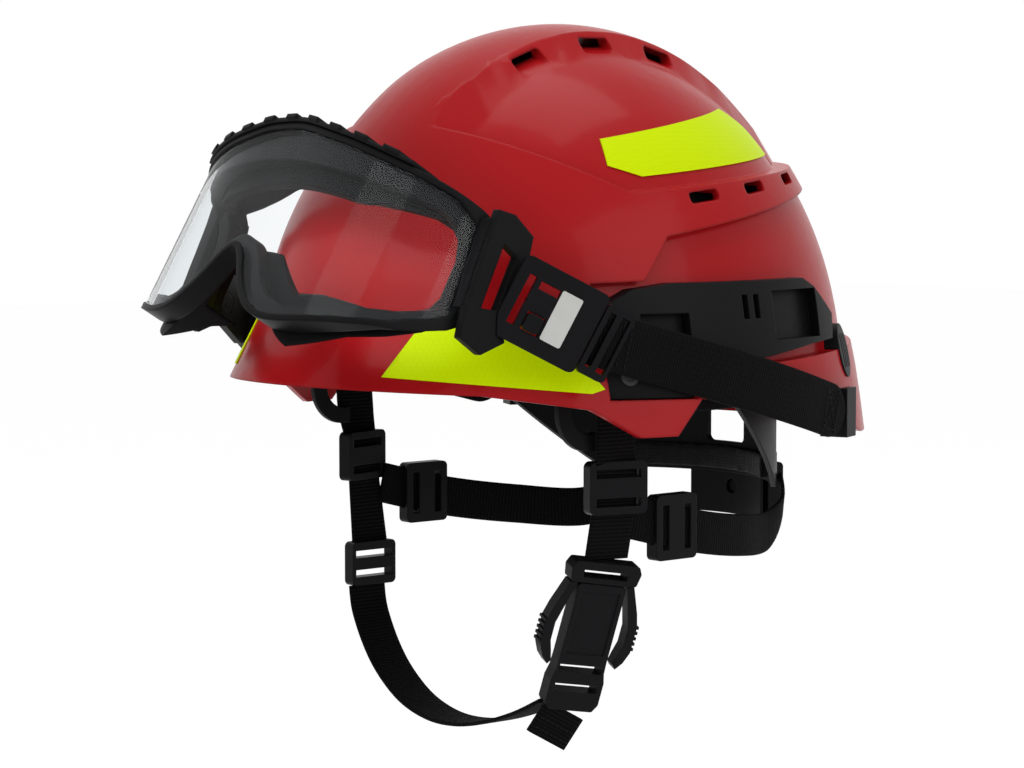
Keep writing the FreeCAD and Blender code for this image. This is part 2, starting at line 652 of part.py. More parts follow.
adjust_at = rear_path[0] * 0.35 + rear_path[1] * 0.65
adjust_run = (rear_path[1] - rear_path[0]).normalize()
adjust_turn = frame_of(V(0, 0, -1), V(adjust_run.y, -adjust_run.x, 0))
adjuster = plate(s.adjuster_long, s.adjuster_tall, s.slider_thick, 2.2,
                 [(-s.adjuster_long * 0.27, 0, 3.4, rear_web + room), (s.adjuster_long * 0.27, 0, 3.4, rear_web + room)])
adjuster = cleared(placed(adjuster, adjust_at, adjust_turn), (fat_rear,))
both("rear_adjuster", adjuster)

# Chin ladder lock on the wearer's right.
lock_turn = frame_of(V(0, 0, -1), side_out)
lock = placed(plate(s.web_wide + 4, s.lock_tall, s.slider_thick, 2.2,
                    [(0, s.lock_tall * 0.22, s.web_wide + room, 3.0), (0, -s.lock_tall * 0.22, s.web_wide + room, 3.0)]),
              lock_at, lock_turn)

chin_half = lock_at.x - 1.5
CHIN = ((-1.0, -0.652), (-0.955, -0.73), (-0.80, -0.83), (-0.62, -0.905), (-0.39, -0.966), (-0.13, -0.997),
        (0.12, -0.995), (0.35, -0.968), (0.56, -0.927), (0.735, -0.878))
chin_points = [V(chin_half * x, s.ear_back - 3 - 9 * (1 - x * x), s.chin_low * z) for x, z in CHIN]


def chin_stations():
    stations = []
    for i, here in enumerate(chin_points):
        before = chin_points[max(i - 1, 0)]
        after = chin_points[min(i + 1, len(chin_points) - 1)]
        run = (after - before).normalize()
        stations.append((here, V(0, 1, 0), run.cross(V(0, 1, 0))))
    return stations


chin_strap = webbing(chin_stations(), s.web_wide, s.web_thick)
fat_chin = webbing(chin_stations(), s.web_wide + room, fat)
add("chin_lock", cleared(mirrored(lock), (mirrored(fat_right), fat_chin)))
add("chin_strap", chin_strap)


# ---------------------------------------------------------------- buckle

def local_prism(points, low, tall):
    return prism([V(x, y, low) for x, y in points], V(0, 0, tall))


half_thick = s.buckle_thick / 2
half_block, half_span = s.buckle_block / 2, s.buckle_span / 2
ear_x = half_block + 3.2
end_y = -s.buckle_long


def buckle_socket():
    """Upper half: webbing bar, ears and the two guide posts that the tongue runs between."""
    outline = [(-ear_x, 2), (ear_x, 2), (ear_x + 1.5, -1), (ear_x + 0.5, -6.2), (-ear_x - 0.5, -6.2),
               (-ear_x - 1.5, -1)]
    body = local_prism(outline, -half_thick, s.buckle_thick)
    body = body.makeFillet(1.2, [e for e in body.Edges if abs(e.tangentAt(e.FirstParameter).z) > 0.9])
    return body.cut(Part.makeBox(s.web_wide + room, 3.0, 20, V(-(s.web_wide + room) / 2, -4.2, -10)))


def buckle_arm(side):
    """A bowed release arm with finger ribs, living-hinged at the socket's ear."""
    w = s.arm_wide
    outer = [(ear_x + 0.2, -6.5), (half_span - 1.5, end_y * 0.42), (half_span, end_y * 0.55),
             (half_span, end_y * 0.82), (half_span - 2, end_y * 0.93), (half_span - 4.6, end_y)]
    inner = [(half_block + 3.2, end_y * 0.96), (half_span - w - 1.2, end_y * 0.86),
             (half_span - w, end_y * 0.76), (half_span - w, end_y * 0.58),
             (half_span - w - 1.6, end_y * 0.44), (ear_x - w + 0.9, -6.5)]
    body = local_prism(outer + inner, -half_thick + 0.5, s.buckle_thick - 1)
    ribs = int(abs(end_y) * 0.3 / 2.2)
    for i in range(ribs):
        rib = Part.makeBox(1.2, 1.1, s.buckle_thick - 1, V(half_span - 0.3, end_y * 0.55 - 2.2 * i - 1.1, -half_thick + 0.5))
        body = body.fuse(rib)
    body = body.removeSplitter()
    return body if side > 0 else body.mirror(V(0, 0, 0), V(1, 0, 0))


def buckle_tongue():
    """Lower half: the block between the arms, its slot and the ladder bars for the chin webbing."""
    neck = half_block + 1.2
    outline = [(-half_block, -6.8), (half_block, -6.8), (half_block, end_y + 3), (neck - 1, end_y - 2),
               (neck, end_y - 6), (neck, end_y - 15), (neck - 2, end_y - 18), (-neck + 2, end_y - 18),
               (-neck, end_y - 15), (-neck, end_y - 6), (-neck + 1, end_y - 2), (-half_block, end_y + 3)]
    body = local_prism(outline, -half_thick, s.buckle_thick)
    body = body.makeFillet(1.0, [e for e in body.Edges if abs(e.tangentAt(e.FirstParameter).z) > 0.9])
    for y, tall in ((end_y - 2.6, 3.2), (end_y - 10.4, 3.2)):
        body = body.cut(Part.makeBox(s.web_wide, tall, 20, V(-s.web_wide / 2, y, -10)))
    rim = local_prism([(-half_block + 2, -9.5), (half_block - 2, -9.5), (half_block - 2, end_y + 5),
                       (-half_block + 2, end_y + 5)], half_thick - 0.7, 2)
    return body.cut(rim)


def at_buckle(shape):
    return placed(shape, buckle_top, buckle_turn)


add("buckle_socket", cleared(at_buckle(buckle_socket()), (fat_left,)))
add("buckle_arm_front", at_buckle(buckle_arm(-1)))
add("buckle_arm_back", at_buckle(buckle_arm(1)))
add("buckle_tongue", cleared(at_buckle(buckle_tongue()), (fat_chin,)))

# Folded free end of the chin webbing below the tongue.
tail_root = buckle_top + buckle_down * (s.buckle_long + 15.5)
tail_run = (buckle_down + V(0, -0.42, 0)).normalize()
tail_across = buckle_turn.multVec(V(1, 0, 0))
tail_out = tail_across.cross(tail_run).normalize()
if tail_out.x < 0:
    tail_out = tail_out.negative()
tail_across = tail_run.cross(tail_out).normalize()
tail_lift = tail_out * (half_thick + s.web_thick)
strap_tail = webbing([(tail_root + tail_lift * 0.2 + tail_run * 3.4, tail_across, tail_out),
                      (tail_root + tail_run * 17, tail_across, tail_out)], s.web_wide, 2 * s.web_thick)
tongue_space = local_prism([(-half_block - 1.6, end_y), (half_block + 1.6, end_y), (half_block + 1.6, end_y - 18.3),
                            (-half_block - 1.6, end_y - 18.3)], -half_thick - 0.3, s.buckle_thick + 0.6)
add("strap_tail", cleared(strap_tail, (fat_chin, at_buckle(tongue_space))))

# ---------------------------------------------------------------- goggles

lean = math.radians(s.goggle_tilt)
g_up = V(0, math.sin(lean), math.cos(lean))
g_ahead = V(0, -math.cos(lean), math.sin(lean))
g_home = V(0, -s.goggle_front, s.goggle_height)


def g_point(x, up, ahead):
    return g_home + V(x, 0, 0) + g_up * up + g_ahead * ahead


def wrap_curve(inset, up, back):
    """Plan of the wrap-round frame, open at the back, as points from side to side."""
    a, d = s.goggle_half_width - inset, s.goggle_wrap - inset
    points = []
    for step in range(25):
        turn = math.pi * step / 24
        x = a * math.copysign(abs(math.cos(turn)) ** (2 / 2.7), math.cos(turn))
        ahead = -s.goggle_wrap + d * math.sin(turn) ** (2 / 2.7)
        points.append(g_point(x, up, ahead))
    return [g_point(a, up, -back)] + points + [g_point(-a, up, -back)]


def wrap_band(inner, outer, back=None):
    """A curved wall between two insets of the wrap, tall enough to be trimmed."""
    back = s.goggle_wrap + 12 if back is None else back
    low, tall = -1.6 * s.goggle_bottom, g_up * (3.2 * s.goggle_bottom)
    edges = []
    for inset in (outer, inner):
        points = wrap_curve(inset, low, back)
        curve = Part.BSplineCurve()
        curve.interpolate(points[1:-1])
        edges.append((points[0], curve.toShape(), points[-1], points[1], points[-2]))
    (a0, ca, a1, a2, a3), (b0, cb, b1, b2, b3) = edges
    line = Part.makeLine
    wire = Part.Wire(Part.__sortEdges__([ca, line(a3, a1), line(a1, b1), line(b1, b3), cb, line(b2, b0),
                                         line(b0, a0), line(a0, a2)]))
    return Part.Face(wire).extrude(tall)


HALF_FRONT = ((0, 1.0), (0.14, 0.985), (0.27, 0.935), (0.45, 0.87), (0.63, 0.80), (0.82, 0.74), (0.95, 0.66),
              (1.05, 0.40), (1.08, -0.05), (1.05, -0.38), (0.97, -0.60), (0.87, -0.70), (0.77, -0.80), (0.64, -0.90),
              (0.50, -0.98), (0.38, -1.0), (0.27, -0.92), (0.185, -0.76), (0.115, -0.56), (0.055, -0.36), (0, -0.27))
HALF_GLASS = ((0, 0.82), (0.14, 0.81), (0.27, 0.785), (0.45, 0.74), (0.63, 0.70), (0.80, 0.67), (0.93, 0.58),
              (1.02, 0.34), (1.03, -0.05), (1.00, -0.34), (0.93, -0.55), (0.84, -0.67), (0.74, -0.77), (0.62, -0.86),
              (0.50, -0.94), (0.39, -0.95), (0.29, -0.87), (0.205, -0.72), (0.135, -0.53), (0.07, -0.34), (0, -0.25))
HALF_SEAL = ((0, 1.0), (0.14, 0.985), (0.27, 0.935), (0.45, 0.87), (0.63, 0.80), (0.82, 0.74), (0.95, 0.66),
             (1.05, 0.40), (1.08, -0.05), (1.05, -0.55), (0.95, -0.84), (0.80, -0.95), (0.64, -1.0), (0.47, -0.97),
             (0.34, -0.84), (0.24, -0.60), (0.15, -0.36), (0.07, -0.24), (0, -0.21))


def front_outline(table):
    """Front view of the goggles: arched top, two lobes and the nose notch."""
    low = s.seal_bottom if table is HALF_SEAL else s.goggle_bottom
    right = [(x * s.goggle_half_width, z * (s.goggle_top if z > 0 else low)) for x, z in table]
    return right + [(-x, z) for x, z in reversed(right[1:-1])]


def front_cutter(inset, table=HALF_FRONT):
    points = grown(front_outline(table), -inset)
    wire = smooth_wire([g_point(x, z, -1.6 * s.goggle_wrap) for x, z in points])
    return Part.Face(wire).extrude(g_ahead * (2.4 * s.goggle_wrap))


def flank_outline(inset=0.0, low=None):
    """Side view of the wrap: it narrows towards the strap arms."""
    top, back = s.goggle_top, s.goggle_wrap
    low = s.goggle_bottom if low is None else low
    outline = [(20, 1.3 * top), (-0.1 * back, 1.3 * top), (-0.25 * back, 0.83 * top), (-0.42 * back, 0.73 * top),
               (-0.57 * back, 0.63 * top), (-0.62 * back, 0.55 * top), (-0.66 * back, -0.30 * low),
               (-0.58 * back, -0.46 * low), (-0.45 * back, -0.62 * low), (-0.33 * back, -0.74 * low),
               (-0.2 * back, -0.96 * low), (-0.05 * back, -1.4 * low), (20, -1.4 * low)]
    return outline if inset == 0 else grown(outline, -inset)


def flank_cutter(outline):
    wide = 1.5 * s.goggle_half_width
    return prism([g_point(-wide, z, a) for a, z in outline], V(2 * wide, 0, 0))


def glass_flank(grow):
    """Side view of the lens opening, rounded where it ends short of the arms."""
    top, low, back = s.goggle_top, s.goggle_bottom, s.goggle_wrap
    outline = [(20, 1.3 * top), (-0.2 * back, 0.86 * top), (-0.38 * back, 0.60 * top), (-0.47 * back, 0.50 * top),
               (-0.53 * back, 0.40 * top), (-0.56 * back, 0.22 * top), (-0.565 * back, -0.14 * low),
               (-0.54 * back, -0.28 * low), (-0.49 * back, -0.36 * low), (-0.36 * back, -0.52 * low),
               (-0.2 * back, -0.8 * low), (0, -1.3 * low), (20, -1.3 * low)]
    return grown(outline, grow)


lens_out = 0.8
lens_in = lens_out + s.lens_thick
lens_edge = 2.4
opening = front_cutter(s.frame_lip, HALF_GLASS).common(flank_cutter(glass_flank(0)))
rebate = front_cutter(lens_edge).common(flank_cutter(glass_flank(2.6)))
glazing = front_cutter(lens_edge + s.clearance).common(flank_cutter(glass_flank(2.6 - s.clearance)))
frame = wrap_band(s.frame_deep, 0).common(front_cutter(0)).common(flank_cutter(flank_outline()))
frame = frame.cut(opening).cut(wrap_band(lens_in + s.clearance, -2).common(rebate))
add("goggle_frame", frame)
add("goggle_lens", wrap_band(lens_in, lens_out).common(glazing))

seal_out, seal_in = s.frame_deep + s.clearance, s.frame_deep + s.seal_deep
seal = wrap_band(seal_in, seal_out).common(front_cutter(2.0, HALF_SEAL))
seal = seal.common(flank_cutter(flank_outline(2.5, s.seal_bottom)))
back_off = prism([g_point(-200, z, a) for a, z in ((-0.62 * s.goggle_wrap, -90), (-0.62 * s.goggle_wrap, 90),
                                                   (-150, 90), (-150, -90))], V(400, 0, 0))
seal = seal.cut(back_off)
seal = seal.cut(front_cutter(13, HALF_GLASS).common(flank_cutter(glass_flank(-7))))
add("goggle_seal", seal)

# Ribbed cover over the top vents.
cover_half = 0.74 * s.goggle_half_width
cover_zone = prism([g_point(-cover_half, 0.3 * s.goggle_top, -s.goggle_wrap),
                    g_point(cover_half, 0.3 * s.goggle_top, -s.goggle_wrap),
                    g_point(cover_half, 0.3 * s.goggle_top, 12), g_point(-cover_half, 0.3 * s.goggle_top, 12)],
                   g_up * (1.2 * s.goggle_top))
cover = wrap_band(s.frame_deep - 1, -1).common(front_cutter(-1.9)).cut(front_cutter(-s.clearance)).common(cover_zone)
for i in range(-4, 5):
    rib = Part.makeBox(6, 60, 60, V(-3, -30, 0))
    rib = placed(rib, g_point(i * cover_half / 4.6, 0.3 * s.goggle_top, -10), FreeCAD.Rotation(V(1, 0, 0), -s.goggle_tilt))
    rib = rib.common(wrap_band(s.frame_deep, -1.6).common(front_cutter(-3.0)).cut(front_cutter(-1.2)))
    cover = cover.fuse(rib.common(cover_zone))
add("goggle_vent_cover", cover.removeSplitter())

# Outrigger arms: trapezoid side plates with an upright bar for the strap plate.
arm_in = s.goggle_half_width + s.clearance
arm_out = arm_in + 3.4
arm_outline = [(-0.50, 0.68), (-0.60, 0.73), (-0.75, 0.67), (-0.79, 0.42), (-0.80, -0.10), (-0.85, -0.25),
               (-0.75, -0.46), (-0.60, -0.44), (-0.56, -0.20)]
arm_outline = [(a * s.goggle_wrap, z * s.goggle_top) for a, z in arm_outline]
arm = prism([g_point(arm_in, z, a) for a, z in arm_outline], V(arm_out - arm_in, 0, 0))
arm = arm.cut(prism([g_point(arm_in - 5, z * s.goggle_top, a * s.goggle_wrap) for a, z in
                     ((-0.61, 0.46), (-0.71, 0.43), (-0.73, -0.06), (-0.64, -0.12))], V(20, 0, 0)))
arm_root = prism([g_point(arm_in - 9, z * s.goggle_top, a * s.goggle_wrap) for a, z in
                  ((-0.50, 0.60), (-0.595, 0.60), (-0.595, -0.20), (-0.555, -0.20))], V(10, 0, 0))
arm = arm.fuse(arm_root.cut(wrap_band(20, -s.clearance))).removeSplitter()
both("goggle_arm", arm)

# ---------------------------------------------------------------- goggle strap

def skirt_side(y, z):
    """Half width of the flared skirt at a place along the side, with its facing."""
    w, d = s.shell_half_width, s.shell_half_length
    table = ((0.52 * s.skirt_height, w - 0.4, d + 0.2 * s.brim_reach, d),
             (0.1 * s.skirt_height, w + 0.7 * s.side_reach, d + s.brim_reach, d + 0.6 * s.nape_reach),
             (-0.85 * s.skirt_height, w + 1.9 * s.side_reach, d + 1.8 * s.brim_reach, d + 1.6 * s.nape_reach))
    z = min(max(z, table[2][0]), table[0][0])
    upper, lower = (table[0], table[1]) if z > table[1][0] else (table[1], table[2])
    part = (z - lower[0]) / (upper[0] - lower[0])
    half, front, back = (lower[i] + part * (upper[i] - lower[i]) for i in (1, 2, 3))
    reach = back if y > 0 else front
    x = half * math.sqrt(1 - (y / reach) ** 2)
    return x, V(x / half ** 2, y / reach ** 2, 0).normalize()


strap_start = g_point(arm_out + 13.5, 0.14 * s.goggle_top, -s.goggle_wrap - 12)
strap_end_y = s.hook_back - s.elastic_wide / 2 - 4
strap_low = -s.hook_low


def elastic_stations():
    stations = []
    count = 9
    for i in range(count):
        part = i / (count - 1)
        y = strap_start.y + part * (strap_end_y - strap_start.y)
        z = strap_start.z + part * (strap_low - strap_start.z)
        x, facing = skirt_side(y, z - 0.3 * s.elastic_wide)
        blend = max(0.0, 1 - part * 2.6)
        off = s.elastic_thick / 2 + 0.9
        x = x + off / facing.x * 1.0
        x = x + blend ** 2 * (strap_start.x - skirt_side(strap_start.y, strap_start.z)[0] - off)
        stations.append(V(x, y, z))
    out = []
    for i, here in enumerate(stations):
        before, after = stations[max(i - 1, 0)], stations[min(i + 1, count - 1)]
        run = (after - before).normalize()
        facing = V(run.y, -run.x, 0).normalize()
        out.append((here, run.cross(facing), facing))
    return out


elastic_line = elastic_stations()
elastic = webbing(elastic_line, s.elastic_wide, s.elastic_thick)
end_point, end_across, end_out = elastic_line[-1]
end_run = (end_point - elastic_line[-2][0]).normalize()
tab = Part.makeCylinder(s.elastic_wide / 2, s.elastic_thick, V(0, 0, -s.elastic_thick / 2))
tab = tab.common(Part.makeBox(60, 60, 10, V(-30, -60, -5)))
tab = placed(tab, end_point, frame_of(end_run, end_out))
both("goggle_strap", elastic.fuse(tab).removeSplitter())

# Strap plate between the arm's bar and the elastic, with a release button and a ladder loop.
first_run = (elastic_line[1][0] - elastic_line[0][0]).normalize()
bar_at = g_point((arm_in + arm_out) / 2, 0.15 * s.goggle_top, -0.775 * s.goggle_wrap)
plate_run = strap_start - bar_at
plate_turn = frame_of(plate_run, V(1, -0.55, 0))
plate_run = plate_run.normalize()
plate_mid = bar_at + plate_run * (s.plate_long / 2 - 1.5) + plate_turn.multVec(V(0, 0, 1)) * 3.9
grip = s.plate_long / 2
strap_plate = plate(s.plate_tall, s.plate_long, s.plate_thick, 2.5,
                    [(0, grip - 5.5, s.plate_tall - 12, 3), (-6, grip - 13, 7, 7), (7.5, grip - 13, 3, 8)])
arm_space = prism([g_point(arm_in - 0.3, z, a) for a, z in grown(arm_outline, s.clearance)],
                  V(arm_out - arm_in + 0.6, 0, 0))
strap_plate = placed(strap_plate, plate_mid, plate_turn).cut(arm_space)
both("strap_plate", strap_plate)
button = placed(plate(6.4, 6.4, s.plate_thick + 1.2, 1.5, []),
                plate_mid + plate_turn.multVec(V(-6, grip - 13, 0.6)), plate_turn)
both("strap_button", button)
label = plate(0.62 * s.plate_tall, 0.24 * s.plate_long, 0.6, 0.8, [])
add("plate_label", placed(label, plate_mid + plate_turn.multVec(V(0, -0.13 * s.plate_long, s.plate_thick / 2 + 0.3)),
                          plate_turn))
loop = plate(s.elastic_wide + 6, 11, 5, 1.8, [(0, 2.4, s.elastic_wide, 2.2), (0, -2.6, s.elastic_wide + room, 3.2)])
loop_at = plate_mid - plate_turn.multVec(V(0, 1, 0)) * (s.plate_long / 2 + 5.8)
fat_elastic = webbing(elastic_line, s.elastic_wide + room, s.elastic_thick + room)
both("strap_loop", cleared(placed(loop, loop_at, plate_turn), (fat_elastic,)))

# Strap hook round the back rim.
hook_x, hook_out = skirt_side(s.hook_back, -s.rim_back + 6)
hook_turn = FreeCAD.Rotation(V(1, 0, 0), hook_out)
hook_body = Part.makeBox(3.6, 10, s.elastic_wide - 2, V(0.2, -5, -s.elastic_wide / 2 - 3))
hook_body = hook_body.fuse(Part.makeBox(11, 10, 3, V(-7.2, -5, -s.elastic_wide / 2 - 3)))
hook_body = hook_body.fuse(Part.makeBox(2.2, 10, 10, V(-7.2, -5, -s.elastic_wide / 2 - 3)))
hook = placed(hook_body, V(hook_x, s.hook_back, -s.hook_low + 2), hook_turn).cut(shell)
both("strap_hook", hook)

# Rail screws: countersunk heads that hold the side rails, one node for both sides.
screws = []
for y, z in ((s.rail_front + 9, s.rail_low + 8), (s.rail_front + 44, s.rail_low + 14)):
    head = Part.makeCylinder(s.screw_radius, 60, V(0.5 * s.shell_half_width, y, z), V(1, 0, 0))
    drive = Part.makeCylinder(s.screw_radius * 0.5, 60, V(0.5 * s.shell_half_width, y, z), V(1, 0, 0), 360)
    head = head.common(dome(-s.rail_proud - 0.7)).cut(dome(-s.rail_proud)).cut(
        drive.cut(dome(-s.rail_proud - 0.3)))
    screws += [head, mirrored(head)]
add("rail_screws", Part.makeCompound(screws))

# Side hangers: loops that carry the front straps from the headband.
hanger = Part.makeCylinder(15, s.band_thick, V(0, 0, 0), V(1, 0, 0)).cut(
    Part.makeCylinder(8.5, 10, V(-3, 0, 0), V(1, 0, 0)))
hanger = hanger.cut(Part.makeBox(10, 60, 40, V(-3, 3, -40)))
hanger.translate(V(head_x - 3.5, s.ear_back - 12, s.band_low + 3))
liner_space = dome(liner_out - 5).cut(dome(liner_in + s.clearance)).cut(below_rim(s.liner_lift - s.clearance))
hanger = hanger.cut(ring(-0.2, s.band_thick + 0.4, s.band_low - 0.02, s.band_tall)).cut(fat_top).cut(liner_space)
hanger = max(hanger.Solids, key=lambda solid: solid.Volume)
both("side_hanger", hanger)

# ---------------------------------------------------------------- write

doc.recompute()
faults = []
for item in doc.Objects:
    if "Invalid" in item.State or "Error" in item.State:
        faults.append("%s is %s" % (item.Label, item.State))
for item in made:
    if item.Shape.isNull() or not item.Shape.isValid() or not item.Shape.Solids:
        faults.append("%s has no sound solid" % item.Label)
if faults:
    raise RuntimeError("; ".join(faults))
for item in made:
    item.Shape.exportStep("parts/%s.step" % item.Label)
print("%d sub-parts" % len(made))
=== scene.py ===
"""A firefighter's rescue helmet with lift-up goggles and a webbing chin harness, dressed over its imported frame."""

import json
import logging
import math
from contextlib import contextmanager
from dataclasses import dataclass, field
from enum import Enum
from typing import Any, Dict, Iterator, List, Optional, Sequence, Tuple

import bmesh
import bpy
from mathutils import Matrix, Vector

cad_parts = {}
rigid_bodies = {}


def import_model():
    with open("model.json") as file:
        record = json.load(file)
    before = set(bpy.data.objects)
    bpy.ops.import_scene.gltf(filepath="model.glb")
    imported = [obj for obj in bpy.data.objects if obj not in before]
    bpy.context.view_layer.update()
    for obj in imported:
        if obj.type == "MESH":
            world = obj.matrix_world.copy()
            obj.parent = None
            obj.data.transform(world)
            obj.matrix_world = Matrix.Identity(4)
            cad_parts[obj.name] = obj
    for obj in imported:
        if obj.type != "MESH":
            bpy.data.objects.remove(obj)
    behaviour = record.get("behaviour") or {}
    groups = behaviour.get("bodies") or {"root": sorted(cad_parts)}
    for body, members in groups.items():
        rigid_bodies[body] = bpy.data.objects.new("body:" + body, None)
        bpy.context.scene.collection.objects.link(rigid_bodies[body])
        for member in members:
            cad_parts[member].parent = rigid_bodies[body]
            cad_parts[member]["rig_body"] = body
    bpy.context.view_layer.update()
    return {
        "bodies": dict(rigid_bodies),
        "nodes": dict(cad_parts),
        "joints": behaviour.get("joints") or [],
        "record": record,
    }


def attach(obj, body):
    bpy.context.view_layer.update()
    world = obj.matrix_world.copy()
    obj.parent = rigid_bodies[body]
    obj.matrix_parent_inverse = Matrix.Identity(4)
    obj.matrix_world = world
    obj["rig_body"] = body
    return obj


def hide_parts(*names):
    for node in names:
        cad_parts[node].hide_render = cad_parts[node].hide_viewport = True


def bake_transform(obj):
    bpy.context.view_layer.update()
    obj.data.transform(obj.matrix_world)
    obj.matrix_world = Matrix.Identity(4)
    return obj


MM = 0.001
SIDES = ("left", "right")
log = logging.getLogger("helmet")
Station = Tuple[Vector, Vector, Vector]


# ---------------------------------------------------------------- small tools

def srgb(code: str) -> Tuple[float, float, float, float]:
    """Turns an sRGB hex colour into linear RGBA.

    Args:
        code: six hex digits, with or without a leading hash.

    Returns:
        The colour in linear light, with full alpha.
    """
    code = code.lstrip("#")
    parts = [int(code[i:i + 2], 16) / 255 for i in (0, 2, 4)]
    red, green, blue = (c / 12.92 if c <= 0.04045 else ((c + 0.055) / 1.055) ** 2.4 for c in parts)
    return red, green, blue, 1.0


def add_node(tree: bpy.types.NodeTree, kind: str, inputs: Optional[Dict[Any, Any]] = None,
             **settings: Any) -> bpy.types.Node:
    """Adds one node with its settings and its inputs.

    Args:
        tree: the node tree that gets it.
        kind: the node's type name.
        inputs: for each socket name or index, a plain value or the output socket that feeds it.
        settings: the node's own properties.

    Returns:
        The new node.
    """
    node = tree.nodes.new(kind)
    for name, value in settings.items():
        setattr(node, name, value)
    for key, value in (inputs or {}).items():
        if isinstance(value, bpy.types.NodeSocket):
            tree.links.new(value, node.inputs[key])
        else:
            node.inputs[key].default_value = value
    return node


def linked(name: str, data: bpy.types.ID) -> bpy.types.Object:
    """Puts a mesh, a light or a camera in the scene.

    Args:
        name: the object's name.
        data: what it shows.

    Returns:
        The linked object.
    """
    made = bpy.data.objects.new(name, data)
    bpy.context.scene.collection.objects.link(made)
    return made


@contextmanager
def editing(mesh: bpy.types.Mesh) -> Iterator[bmesh.types.BMesh]:
    """Opens a mesh for editing, and writes it back at the end of the block.

    Args:
        mesh: the mesh.

    Yields:
        Its editable form.
    """
    work = bmesh.new()
    work.from_mesh(mesh)
    yield work
    work.to_mesh(mesh)
    work.free()


def evaluated(piece: bpy.types.Object) -> bpy.types.Mesh:
    """Runs a piece's modifiers.

    Args:
        piece: the object.

    Returns:
        A new mesh with their result.
    """
    bpy.context.view_layer.update()
    return bpy.data.meshes.new_from_object(piece.evaluated_get(bpy.context.evaluated_depsgraph_get()))


def mark_corners(work: bmesh.types.BMesh, crease: float) -> None:
    """Shades a mesh smooth, but for the edges where two faces meet at an angle.

    Args:
        work: the mesh under edit.
        crease: the least angle of a corner, in radians.
    """
    for face in work.faces:
        face.smooth = True
    for edge in work.edges:
        edge.smooth = len(edge.link_faces) == 2 and edge.calc_face_angle(0) < crease


def even_normals(piece: bpy.types.Object, weight: int = 50) -> None:
    """Lets large faces lead the shading, with the corners kept.

    Args:
        piece: the object.
        weight: how far the larger faces lead.
    """
    even = piece.modifiers.new("even normals", "WEIGHTED_NORMAL")
    even.keep_sharp = True
    even.weight = weight


def new_piece(name: str, vertices: Sequence[Sequence[float]], faces: Sequence[Sequence[int]],
              smooth: bool = True) -> bpy.types.Object:
    """Makes a mesh object at the origin, with its place in its mesh.

    Args:
        name: the piece's name.
        vertices: its points in metres.
        faces: its faces as point numbers.
        smooth: whether its faces shade smooth.

    Returns:
        The linked object.
    """
    mesh = bpy.data.meshes.new(name)
    mesh.from_pydata([tuple(v) for v in vertices], [], [tuple(f) for f in faces])
    mesh.validate()
    mesh.polygons.foreach_set("use_smooth", [smooth] * len(mesh.polygons))
    return linked(name, mesh)


def paint(piece: bpy.types.Object, material: bpy.types.Material) -> None:
    """Gives every face of a piece one material.

    Args:
        piece: the object.
        material: its finish.
    """
    if not piece.data.materials:
        piece.data.materials.append(material)
    for slot in piece.material_slots:
        slot.material = material


def through(points: Sequence[Vector], step: float) -> List[Vector]:
    """Threads a smooth curve through points.

    Args:
        points: the points that it passes, in metres.
        step: the spacing of the result.

    Returns:
        Points along the curve.
    """
    found: List[Vector] = []
    last = len(points) - 1
    for i in range(last):
        a, b, c, d = (points[min(max(i + k, 0), last)] for k in (-1, 0, 1, 2))
        count = max(1, round((c - b).length / step))
        for j in range(count):
            u = j / count
            found.append(0.5 * (2 * b + (c - a) * u + (2 * a - 5 * b + 4 * c - d) * u * u
                                + (3 * b - a - 3 * c + d) * u ** 3))
    found.append(points[last].copy())
    return found


# ---------------------------------------------------------------- finishes

